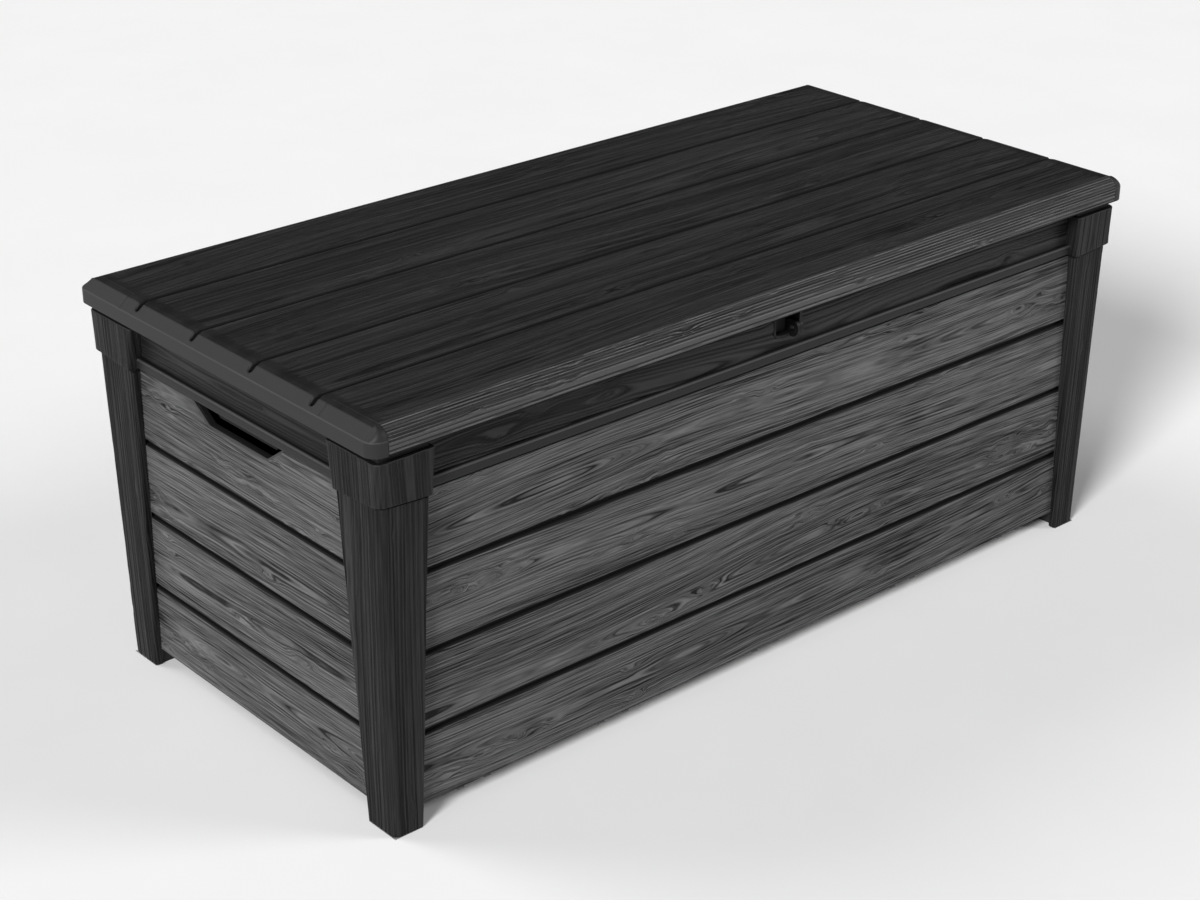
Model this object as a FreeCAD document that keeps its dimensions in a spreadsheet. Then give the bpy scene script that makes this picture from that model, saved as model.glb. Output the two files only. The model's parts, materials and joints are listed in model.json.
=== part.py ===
"""Deck storage box: a resin chest with a plank-look body and one hinged lid.

The length runs along X, the front faces -Y and Z points up. The origin is on
the ground, in the middle of the footprint. All sizes are in millimetres.
"""
import FreeCAD, Part
import os
import re
import Sketcher

doc = FreeCAD.newDocument("deck_storage_box")
dims = doc.addObject("Spreadsheet::Sheet", "dims")

SIZES = {
    # whole box, which is the lid's outline
    "overall_length": 1450, "overall_depth": 697, "overall_height": 603,
    # lid moulding
    "lip_height": 566, "lid_wall": 4, "lid_corner": 23, "nose_radius": 18,
    "chamfer_foot": 587.2, "chamfer_head": 600.4,
    "end_chamfer_run": 15.1, "end_bevel_run": 23.2,
    "rear_chamfer_run": 20, "rear_bevel_run": 28,
    "board_pitch": 137.3, "board_shift": -5.8,
    "groove_mouth": 9, "groove_floor": 5, "groove_depth": 8.5, "groove_end_inset": 4,
    "lip_ceiling": 584, "lid_ceiling": 590.5, "ceiling_inset": 16,
    "cell_ceiling": 599, "lid_cell_count": 12, "lid_cell_pitch": 116, "lid_rib": 8,
    "rib_half": 8, "front_cell_edge": 326, "rear_cell_edge": 316,
    "beam_size": 20, "beam_wall": 1.5, "beam_half_length": 675, "beam_offset": 140,
    # walls: every outer face leans out as it rises
    "wall_base_x": 690.9, "wall_slope_x": 0.0135, "wall_base_y": 315.9, "wall_slope_y": 0.0115,
    "panel_bottom": 26.8, "panel_top": 488, "panel_thick": 12, "panel_skin": 4,
    "first_groove": 137, "plank_pitch": 118.3, "plank_gap": 8, "plank_gap_depth": 7,
    "panel_flange": 7, "panel_half_length": 690, "long_cell_count": 12,
    "long_cell_pitch": 112, "side_cell_count": 5, "side_cell_pitch": 116, "panel_rib": 4,
    # hand slot in the end walls
    "slot_top_half": 109, "slot_bottom_half": 69, "slot_bottom": 460.5,
    # rails that carry the lid
    "rail_top": 590, "ledge_top": 505, "rail_wall": 5, "rail_inner_wall": 4, "rail_roof": 4,
    "band_x": 694.5, "band_y": 318.5, "ledge_x": 702.5, "ledge_y": 326.4,
    "rail_depth": 13.5, "rail_skirt_bottom": 490,
    "ledge_end_x": 629.5, "ledge_end_y": 241.5,
    "grip_drop": 4, "grip_thick": 4, "grip_front": 104, "grip_back": 52,
    # corner posts
    "post_wall": 4, "foot_corner_x": 701, "foot_corner_y": 326.7,
    "foot_width_x": 45, "foot_width_y": 58, "foot_web_under": 22.8,
    "foot_notch": 5, "foot_notch_start": 14,
    "collar_bottom": 489, "collar_top": 552, "post_top": 575,
    "shaft_corner_x": 709, "shaft_corner_y": 335, "shaft_width_x": 75, "shaft_width_y": 90,
    "collar_corner_x": 713.4, "collar_corner_y": 339.3,
    "collar_width_x": 82, "collar_width_y": 95,
    "collar_head_x": 712.5, "collar_head_y": 339,
    "collar_head_width_x": 86, "collar_head_width_y": 104,
    "neck_corner_x": 706.4, "neck_corner_y": 333, "neck_width_x": 77, "neck_width_y": 95,
    "neck_core_x": 702, "neck_core_y": 329, "neck_core_width_x": 67, "neck_core_width_y": 80,
    # floor tray
    "floor_half_x": 679, "floor_half_y": 304, "floor_top": 46, "floor_skin": 4,
    "floor_cell_pitch_x": 104, "floor_cell_pitch_y": 100, "floor_rib": 4,
    "floor_cells_x": 13, "floor_cells_y": 6, "clip_height": 2.8, "clip_length": 10,
    "clip_reach": 12, "clip_gap": 45, "clip_root": 4,
    "clip_first": -559.5, "clip_second": -309.6, "clip_third": -9, "clip_fourth": 292.8,
    "clip_fifth": 546.4,
    # padlock hasp
    "hasp_y": 323, "hasp_z": 532, "hasp_radius": 13, "hasp_hole": 4.5, "hasp_thick": 5.5,
    "hasp_body_x": 14, "hasp_lid_x": 20, "hasp_arm_half": 9, "recess_left": -13,
    "recess_right": 35, "recess_floor": 524, "recess_depth": 9, "recess_frame": 4,
    "recess_base": 520, "hasp_gap": 1.5,
    # hinges
    "hinge_y": 337, "hinge_z": 560, "knuckle_radius": 6, "pin_radius": 2.5,
    "knuckle_gap": 0.05, "hinge_width": 72, "body_knuckle": 18, "leaf_thick": 3,
    "leaf_bottom": 528, "leaf_top": 554, "hinge_spacing": 500, "screw_inset": 9,
    "hinge_screw_pitch": 22, "knuckle_play": 0.4,
    "screw_radius": 2, "screw_head": 4, "screw_head_height": 2.5, "screw_length": 9,
    # gas struts
    "strut_x": 662, "strut_foot_y": 287, "strut_foot_z": 370,
    "strut_head_y": 227, "strut_head_z": 550,
    "tube_radius": 9, "tube_bore": 7.7, "tube_start": 12, "tube_end": 146,
    "tube_cap": 4, "tube_neck_radius": 4.8, "rod_radius": 4, "rod_bore": 4.3, "piston_radius": 7.4,
    "rod_thread": 6,
    "piston_start": 20, "piston_height": 12, "eye_radius": 8, "eye_width": 10,
    "eye_bore": 4.05, "stud_radius": 4, "strut_plate": 4, "plate_clearance": 0.3,
    "foot_plate_y": 40, "foot_plate_z": 70, "head_plate_y": 84, "head_plate_z": 52,
    "foot_screw_y": 12, "foot_screw_z": 27, "head_screw_y": 32,
    "strut_plate_gap": 10, "head_shelf_width": 30, "stud_flange": 7.5, "stud_flange_thick": 2,
    # other screws
    "beam_screw_length": 27, "beam_screw_near": 232, "beam_screw_far": 580,
    "post_screw_x": 672, "post_screw_y": 290, "post_screw_length": 18,
    "post_boss_radius": 5, "post_screw_low": 120, "post_screw_mid": 300, "post_screw_high": 440,
}

for row, (alias, value) in enumerate(SIZES.items(), start=1):
    dims.set(f"A{row}", alias)
    dims.set(f"B{row}", str(value))
    dims.setAlias(f"B{row}", alias)
doc.recompute()


def bind(text):
    """An expression in plain size names, written for the spreadsheet."""
    return re.sub(r"[a-z]+(?:_[a-z]+)+", lambda word: "dims." + word.group(0), str(text))


def number(text):
    """What such an expression is worth now."""
    return float(dims.evalExpression(bind(text)))


# ---------------------------------------------------------------- sketch tools
parts = []


def new_body(name):
    body = doc.addObject("PartDesign::Body", name)
    body.Label = name
    return body


def keep(obj, name):
    """Name a finished sub-part and list it for export."""
    obj.Label = name
    parts.append(obj)
    return obj


def new_sketch(body, name, plane, offset="0"):
    """A sketch on one of the body's own planes, moved along its normal."""
    sketch = body.newObject("Sketcher::SketchObject", name)
    origin_plane = [o for o in body.Origin.OriginFeatures if o.Role == plane][0]
    sketch.AttachmentSupport = [(origin_plane, "")]
    sketch.MapMode = "FlatFace"
    sketch.setExpression("AttachmentOffset.Base.z", bind(offset))
    return sketch


def fix_point(sketch, geometry, end, x_text, y_text):
    """Tie one point of the sketch to the sheet in both directions."""
    for kind, text in (("DistanceX", x_text), ("DistanceY", y_text)):
        if text is None:
            continue
        rule = Sketcher.Constraint(kind, -1, 1, geometry, end, number(text))
        index = sketch.addConstraint(rule)
        sketch.setExpression(f"Constraints[{index}]", bind(text))


def add_polygon(sketch, corners):
    """A closed outline of straight edges, each corner tied to the sheet."""
    points = [FreeCAD.Vector(number(x), number(y), 0) for x, y in corners]
    first = sketch.GeometryCount
    count = len(points)
    for i in range(count):
        sketch.addGeometry(Part.LineSegment(points[i], points[(i + 1) % count]), False)
    for i in range(count):
        following = first + (i + 1) % count
        sketch.addConstraint(Sketcher.Constraint("Coincident", first + i, 2, following, 1))
    for i, (x, y) in enumerate(corners):
        fix_point(sketch, first + i, 1, x, y)


def add_rectangle(sketch, left, right, low, high):
    add_polygon(sketch, [(left, low), (right, low), (right, high), (left, high)])


def add_rounded_rectangle(sketch, half_x, half_y, radius):
    """A rectangle about the sketch's origin with four equal round corners."""
    first = sketch.GeometryCount
    value = number(radius)
    quarters = ((1, 1, 0), (-1, 1, 90), (-1, -1, 180), (1, -1, 270))
    for sx, sy, start in quarters:
        centre = FreeCAD.Vector(sx * (number(half_x) - value), sy * (number(half_y) - value), 0)
        circle = Part.Circle(centre, FreeCAD.Vector(0, 0, 1), value)
        begin = FreeCAD.Units.Quantity(f"{start} deg").getValueAs("rad").Value
        finish = FreeCAD.Units.Quantity(f"{start + 90} deg").getValueAs("rad").Value
        sketch.addGeometry(Part.ArcOfCircle(circle, begin, finish), False)
    for i in range(4):
        arc_end = sketch.Geometry[first + i].EndPoint
        next_start = sketch.Geometry[first + (i + 1) % 4].StartPoint
        sketch.addGeometry(Part.LineSegment(arc_end, next_start), False)
        line = first + 4 + i
        sketch.addConstraint(Sketcher.Constraint("Coincident", first + i, 2, line, 1))
        sketch.addConstraint(Sketcher.Constraint("Coincident", line, 2, first + (i + 1) % 4, 1))
    for i, (sx, sy, start) in enumerate(quarters):
        inner_x = f"{sx} * ({half_x} - {radius})"
        inner_y = f"{sy} * ({half_y} - {radius})"
        outer_x = f"{sx} * ({half_x})"
        outer_y = f"{sy} * ({half_y})"
        fix_point(sketch, first + i, 3, inner_x, inner_y)
        if start in (0, 180):
            fix_point(sketch, first + i, 1, outer_x, inner_y)
            fix_point(sketch, first + i, 2, inner_x, None)
        else:
            fix_point(sketch, first + i, 1, inner_x, outer_y)
            fix_point(sketch, first + i, 2, None, inner_y)


def add_circle(sketch, x, y, radius):
    centre = FreeCAD.Vector(number(x), number(y), 0)
    circle = Part.Circle(centre, FreeCAD.Vector(0, 0, 1), number(radius))
    geometry = sketch.addGeometry(circle, False)
    fix_point(sketch, geometry, 3, x, y)
    index = sketch.addConstraint(Sketcher.Constraint("Radius", geometry, number(radius)))
    sketch.setExpression(f"Constraints[{index}]", bind(radius))


def extrude(body, kind, name, sketch, length, symmetric=False, flip=False):
    """A Pad or Pocket of one sketch."""
    feature = body.newObject("PartDesign::" + kind, name)
    feature.Profile = sketch
    feature.setExpression("Length", bind(length))
    if symmetric:
        feature.SideType = "Symmetric"
    feature.Reversed = flip
    return feature


def pattern(body, name, original, axis, pitch, count):
    """Repeat one feature along an axis of the body."""
    feature = body.newObject("PartDesign::LinearPattern", name)
    feature.Originals = [original]
    line = [o for o in body.Origin.OriginFeatures if o.Role == axis][0]
    feature.Direction = (line, [""])
    feature.Mode = "Spacing"
    feature.setExpression("Offset", bind(pitch))
    feature.setExpression("Occurrences", bind(count))
    body.Tip = feature
    return feature


def loft(body, kind, name, sections):
    """A tapered block through rectangles given as (height, left, right, near, far)."""
    sketches = []
    for i, (height, left, right, near, far) in enumerate(sections):
        sketch = new_sketch(body, f"{name}_section_{i}", "XY_Plane", height)
        add_rectangle(sketch, left, right, near, far)
        sketches.append(sketch)
    feature = body.newObject("PartDesign::" + kind, name)
    feature.Profile = sketches[0]
    feature.Sections = [(sketch, [""]) for sketch in sketches[1:]]
    feature.Ruled = True
    return feature


def mirrored(source, name, normal):
    """The opposite-hand twin of a finished sub-part, across a plane through the origin."""
    twin = doc.addObject("Part::Mirroring", name)
    twin.Source = source
    twin.Normal = FreeCAD.Vector(*normal)
    twin.Base = FreeCAD.Vector(0, 0, 0)
    return keep(twin, name)


ACROSS_X = (1, 0, 0)
ACROSS_Y = (0, 1, 0)


# ------------------------------------------------------------- primitive tools
def place(obj, x="0", y="0", z="0", axis=None, angle="0"):
    """Bind where a primitive stands and how it is turned."""
    if axis:
        obj.Placement = FreeCAD.Placement(FreeCAD.Vector(), FreeCAD.Rotation(axis, number(angle)))
        obj.setExpression("Placement.Rotation.Angle", bind(angle))
    for letter, text in zip("xyz", (x, y, z)):
        obj.setExpression(f"Placement.Base.{letter}", bind(text))
    return obj


def box(name, x, y, z, length, width, height):
    obj = doc.addObject("Part::Box", name)
    for field, text in (("Length", length), ("Width", width), ("Height", height)):
        obj.setExpression(field, bind(text))
    return place(obj, x, y, z)


def rod_x(name, x, y, z, radius, length):
    """A cylinder that starts at a point and runs along +X."""
    obj = doc.addObject("Part::Cylinder", name)
    obj.setExpression("Radius", bind(radius))
    obj.setExpression("Height", bind(length))
    return place(obj, x, y, z, FreeCAD.Vector(0, 1, 0), "90")


def rod_z(name, z, radius, length):
    obj = doc.addObject("Part::Cylinder", name)
    obj.setExpression("Radius", bind(radius))
    obj.setExpression("Height", bind(length))
    return place(obj, "0", "0", z)


def fuse(name, pieces):
    obj = doc.addObject("Part::MultiFuse", name)
    obj.Shapes = pieces
    obj.Refine = True
    return obj


def cut(name, base, tool):
    obj = doc.addObject("Part::Cut", name)
    obj.Base = base
    obj.Tool = tool
    obj.Refine = True
    return obj


# ----------------------------------------------------------------- wall panels
def face_at(axis, height):
    """How far out a wall's outer face is at some height."""
    return f"(wall_base_{axis} + wall_slope_{axis} * ({height}))"


def wall_panel(name, axis, half_length, cell_pitch, cell_count):
    """Four planks in one moulding, leaning out, with shallow cells on the inside.

    The section is drawn across the wall and padded along it, on the side
    where that axis is negative.
    """
    body = new_body(name)
    plane = "YZ_Plane" if axis == "y" else "XZ_Plane"
    outer_low = f"-{face_at(axis, 'panel_bottom')}"
    outer_high = f"-{face_at(axis, 'panel_top')}"
    section = new_sketch(body, name + "_section", plane)
    add_polygon(section, [
        (outer_low, "panel_bottom"), (outer_high, "panel_top"),
        (f"{outer_high} + panel_thick", "panel_top"),
        (f"{outer_low} + panel_thick", "panel_bottom")])
    extrude(body, "Pad", name + "_slab", section, f"2 * ({half_length})", symmetric=True)

    grooves = new_sketch(body, name + "_gaps", plane)
    for i in range(3):
        low = f"first_groove + {i} * plank_pitch - plank_gap / 2"
        high = f"first_groove + {i} * plank_pitch + plank_gap / 2"
        floor = f"-{face_at(axis, low)} + plank_gap_depth"
        add_rectangle(grooves, f"-{face_at(axis, 'panel_top')} - 5", floor, low, high)
    extrude(body, "Pocket", name + "_gap_cut", grooves, f"3 * ({half_length})", symmetric=True)

    start = f"({cell_count} - 1) / 2 * ({cell_pitch})"
    cells = new_sketch(body, name + "_cells", plane, start if axis == "x" else f"-{start}")
    edges = ["panel_bottom"] + [f"first_groove + {i} * plank_pitch" for i in range(3)]
    edges.append("panel_top")
    for low_edge, high_edge in zip(edges[:-1], edges[1:]):
        low = f"{low_edge} + panel_flange"
        high = f"{high_edge} - panel_flange"
        add_polygon(cells, [
            (f"-{face_at(axis, low)} + panel_skin", low),
            (f"-{face_at(axis, high)} + panel_skin", high),
            (f"-{face_at(axis, high)} + panel_thick + 5", high),
            (f"-{face_at(axis, low)} + panel_thick + 5", low)])
    cell_cut = extrude(body, "Pocket", name + "_cell_cut", cells,
                       f"{cell_pitch} - panel_rib", symmetric=True)
    doc.recompute()
    along = "X_Axis" if axis == "y" else "Y_Axis"
    pattern(body, name + "_cell_row", cell_cut, along, cell_pitch, cell_count)
    return body


def trim_side_ends(body, name):
    """Slope the ends of an end wall to meet the insides of the long walls."""
    ends = new_sketch(body, name + "_ends", "YZ_Plane")
    inner_low = f"({face_at('y', 'panel_bottom - 1')} - panel_thick)"
    inner_high = f"({face_at('y', 'panel_top + 1')} - panel_thick)"
    for side in ("-1", "1"):
        add_polygon(ends, [
            (f"{side} * {inner_low}", "panel_bottom - 1"),
            (f"{side} * {inner_high}", "panel_top + 1"),
            (f"{side} * (wall_base_y + 20)", "panel_top + 1"),
            (f"{side} * (wall_base_y + 20)", "panel_bottom - 1")])
    extrude(body, "Pocket", name + "_end_trim", ends, "2 * overall_length", symmetric=True)


def hand_slot(body, name):
    """The trapezoid finger slot under the rail."""
    slot = new_sketch(body, name + "_slot", "YZ_Plane", "-ledge_x - 10")
    add_polygon(slot, [
        ("-slot_top_half", "panel_top + 1"), ("-slot_bottom_half", "slot_bottom"),
        ("slot_bottom_half", "slot_bottom"), ("slot_top_half", "panel_top + 1")])
    extrude(body, "Pocket", name + "_slot_cut", slot, "40", flip=True)


front_panel = keep(wall_panel("front_panel", "y", "panel_half_length",
                              "long_cell_pitch", "long_cell_count"), "front_panel")
mirrored(front_panel, "back_panel", ACROSS_Y)

left_panel = wall_panel("left_panel", "x", f"{face_at('y', 'panel_top')} - panel_thick",
                        "side_cell_pitch", "side_cell_count")
trim_side_ends(left_panel, "left_panel")
hand_slot(left_panel, "left_panel")
keep(left_panel, "left_panel")
mirrored(left_panel, "right_panel", ACROSS_X)


# ----------------------------------------------------------------------- rails
def rail_section(sketch, side, band, ledge):
    """Wood-grain band, proud ledge under it, flat roof and an inner skirt."""
    inner = f"({band} - rail_depth)"
    add_polygon(sketch, [
        (f"{side} * {ledge}", "panel_top"), (f"{side} * {ledge}", "ledge_top"),
        (f"{side} * {band}", "ledge_top"), (f"{side} * {band}", "rail_top"),
        (f"{side} * {inner}", "rail_top"), (f"{side} * {inner}", "rail_skirt_bottom"),
        (f"{side} * ({inner} + rail_inner_wall)", "rail_skirt_bottom"),
        (f"{side} * ({inner} + rail_inner_wall)", "rail_top - rail_roof"),
        (f"{side} * ({band} - rail_wall)", "rail_top - rail_roof"),
        (f"{side} * ({band} - rail_wall)", "panel_top")])


def long_rail(name, side):
    """The front (side -1) or back (side 1) rail, its ledge stopped at the posts."""
    body = new_body(name)
    section = new_sketch(body, name + "_section", "YZ_Plane")
    rail_section(section, side, "band_y", "ledge_y")
    extrude(body, "Pad", name + "_bar", section, "2 * band_x", symmetric=True)
    stops = new_sketch(body, name + "_stops", "XZ_Plane", f"{-side} * (ledge_y + 5)")
    for end in (-1, 1):
        add_rectangle(stops, f"{end} * ledge_end_x", f"{end} * (band_x + 5)",
                      "panel_top - 1", "ledge_top + 1")
    extrude(body, "Pocket", name + "_stop_cut", stops, "ledge_y + 5 - band_y", flip=side > 0)
    return body


def lock_recess(body):
    """A box pocket moulded into the front band for the padlock hasp."""
    back = "band_y - recess_depth"
    frame = new_sketch(body, "recess_frame", "XZ_Plane", "band_y - rail_wall")
    add_rectangle(frame, "recess_left - recess_frame", "recess_right + recess_frame",
                  "recess_base", "rail_top - rail_roof")
    extrude(body, "Pad", "recess_block", frame,
            "rail_depth - rail_wall - rail_inner_wall", flip=True)
    doc.recompute()
    mouth = new_sketch(body, "recess_mouth", "XZ_Plane", "band_y + 1")
    add_rectangle(mouth, "recess_left", "recess_right", "recess_floor", "rail_top + 1")
    extrude(body, "Pocket", "recess_cut", mouth, f"band_y + 1 - ({back})")


front_rail = long_rail("front_rail", -1)
lock_recess(front_rail)
keep(front_rail, "front_rail")
keep(long_rail("back_rail", 1), "back_rail")

left_rail = new_body("left_rail")
side_section = new_sketch(left_rail, "left_rail_section", "XZ_Plane")
rail_section(side_section, -1, "band_x", "ledge_x")
extrude(left_rail, "Pad", "left_rail_bar", side_section,
        "2 * (band_y - rail_depth)", symmetric=True)
side_stops = new_sketch(left_rail, "left_rail_stops", "YZ_Plane", "-ledge_x - 5")
for end in (-1, 1):
    add_rectangle(side_stops, f"{end} * ledge_end_y", f"{end} * (band_y + 5)",
                  "panel_top - 1", "ledge_top + 1")
extrude(left_rail, "Pocket", "left_rail_stop_cut", side_stops,
        "ledge_x + 5 - band_x", flip=True)
grip = new_sketch(left_rail, "left_rail_grip", "YZ_Plane", "-band_x + rail_wall - grip_thick")
add_polygon(grip, [
    ("-grip_front", "panel_top"), ("-grip_front + grip_drop", "panel_top - grip_drop"),
    ("grip_back - grip_drop", "panel_top - grip_drop"), ("grip_back", "panel_top")])
extrude(left_rail, "Pad", "left_rail_grip_lip", grip, "grip_thick")
keep(left_rail, "left_rail")
mirrored(left_rail, "right_rail", ACROSS_X)


# ----------------------------------------------------------------------- posts
def corner_block(height, corner_x, corner_y, width_x, width_y, inset="0"):
    """One level of a post: a rectangle given by its outer corner and widths."""
    return (height, f"{corner_x} - ({width_x}) + {inset}", f"{corner_x} - {inset}",
            f"{corner_y} - ({width_y}) + {inset}", f"{corner_y} - {inset}")


def shaft_value(foot, head, height):
    """A shaft size at some height, on the straight line from foot to collar."""
    return f"({foot} + ({head} - {foot}) * ({height}) / collar_bottom)"


POST_SCREW_HEIGHTS = ("post_screw_low", "post_screw_mid", "post_screw_high")


def shaft_level(height, inset="0"):
    sizes = [shaft_value(f"foot_{word}", f"shaft_{word}", height)
             for word in ("corner_x", "corner_y", "width_x", "width_y")]
    return corner_block(height, *sizes, inset)


def screw_boss(body, name, axis, across, height):
    """A round boss from the post's outer wall in to the panel, for one screw."""
    root = f"({shaft_value('foot_corner_' + axis, 'shaft_corner_' + axis, height)} - post_wall / 2)"
    if axis == "y":
        sketch = new_sketch(body, name + "_circle", "XZ_Plane", f"-{root}")
    else:
        sketch = new_sketch(body, name + "_circle", "YZ_Plane", root)
    add_circle(sketch, across, height, "post_boss_radius")
    extrude(body, "Pad", name, sketch, "rail_depth", flip=axis == "x")


def corner_post():
    """An L-shaped hollow post: tapered shaft, collar, neck and a boxed foot.

    It is drawn in the corner where X and Y are both positive.
    """
    name = "post_back_right"
    body = new_body(name)
    loft(body, "AdditiveLoft", "post_shaft", [shaft_level("0"), shaft_level("collar_bottom")])
    loft(body, "AdditiveLoft", "post_collar", [
        corner_block("collar_bottom", "collar_corner_x", "collar_corner_y",
                     "collar_width_x", "collar_width_y"),
        corner_block("collar_top", "collar_head_x", "collar_head_y",
                     "collar_head_width_x", "collar_head_width_y")])
    loft(body, "AdditiveLoft", "post_neck", [
        corner_block(height, "neck_corner_x", "neck_corner_y", "neck_width_x", "neck_width_y")
        for height in ("collar_top", "post_top")])
    loft(body, "SubtractiveLoft", "post_shaft_void", [
        shaft_level("panel_bottom", "post_wall"), shaft_level("collar_bottom", "post_wall")])
    loft(body, "SubtractiveLoft", "post_head_void", [
        corner_block(height, "neck_core_x", "neck_core_y",
                     "neck_core_width_x", "neck_core_width_y")
        for height in ("collar_bottom", "post_top - post_wall")])
    loft(body, "SubtractiveLoft", "post_foot_void", [
        shaft_level("-1", "post_wall"), shaft_level("foot_web_under", "post_wall")])
    for level, height in enumerate(POST_SCREW_HEIGHTS):
        screw_boss(body, f"post_long_boss_{level}", "y", "post_screw_x", height)
        screw_boss(body, f"post_end_boss_{level}", "x", "post_screw_y", height)
    loft(body, "SubtractiveLoft", "post_panel_seat", [
        (height, "500", face_at("x", height), "100", face_at("y", height))
        for height in ("panel_bottom", "panel_top")])
    loft(body, "SubtractiveLoft", "post_rail_seat", [
        (height, "500", "band_x", "100", "band_y")
        for height in ("panel_top", "post_top + 1")])
    notch = new_sketch(body, "post_notch", "XY_Plane")
    add_rectangle(notch, "foot_corner_x - foot_width_x - 1",
                  "foot_corner_x - foot_width_x + post_wall + 0.5",
                  "foot_corner_y - foot_width_y + post_wall",
                  "foot_corner_y - foot_notch_start")
    extrude(body, "Pocket", "post_notch_cut", notch, "foot_notch", flip=True)
    return body


post = keep(corner_post(), "post_back_right")
back_left = mirrored(post, "post_back_left", ACROSS_X)
mirrored(post, "post_front_right", ACROSS_Y)
mirrored(back_left, "post_front_left", ACROSS_Y)


# ----------------------------------------------------------------------- floor
def floor_tray():
    """A ribbed tray between the walls, with clips hooked under their edges."""
    body = new_body("floor_panel")
    outline = new_sketch(body, "floor_outline", "XY_Plane", "panel_bottom")
    add_rectangle(outline, "-floor_half_x", "floor_half_x", "-floor_half_y", "floor_half_y")
    extrude(body, "Pad", "floor_slab", outline, "floor_top - panel_bottom")
    clips = new_sketch(body, "floor_clips", "XY_Plane", "panel_bottom - clip_height")
    for side in (-1, 1):
        for centre in ("clip_first", "clip_second", "clip_third", "clip_fourth", "clip_fifth"):
            for hand in (-1, 1):
                middle = f"{centre} + {hand} * clip_gap / 2"
                add_rectangle(clips, f"{middle} - clip_length / 2", f"{middle} + clip_length / 2",
                              f"{side} * (floor_half_y - clip_root)",
                              f"{side} * (floor_half_y + clip_reach)")
    extrude(body, "Pad", "floor_clip_pads", clips, "clip_height")
    cell = new_sketch(body, "floor_cell", "XY_Plane", "panel_bottom")
    start_x = "-(floor_cells_x - 1) / 2 * floor_cell_pitch_x"
    start_y = "-(floor_cells_y - 1) / 2 * floor_cell_pitch_y"
    half_x = "(floor_cell_pitch_x - floor_rib) / 2"
    half_y = "(floor_cell_pitch_y - floor_rib) / 2"
    for i in range(round(number("floor_cells_y"))):
        middle = f"{start_y} + {i} * floor_cell_pitch_y"
        add_rectangle(cell, f"{start_x} - {half_x}", f"{start_x} + {half_x}",
                      f"{middle} - {half_y}", f"{middle} + {half_y}")
    cell_cut = extrude(body, "Pocket", "floor_cell_cut", cell,
                       "floor_top - panel_bottom - floor_skin", flip=True)
    doc.recompute()
    pattern(body, "floor_cell_rows", cell_cut, "X_Axis", "floor_cell_pitch_x", "floor_cells_x")
    return body


keep(floor_tray(), "floor_panel")


# ------------------------------------------------------------------------- lid
def groove_at(index):
    return f"(board_shift + {index - 1.5} * board_pitch)"


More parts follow.
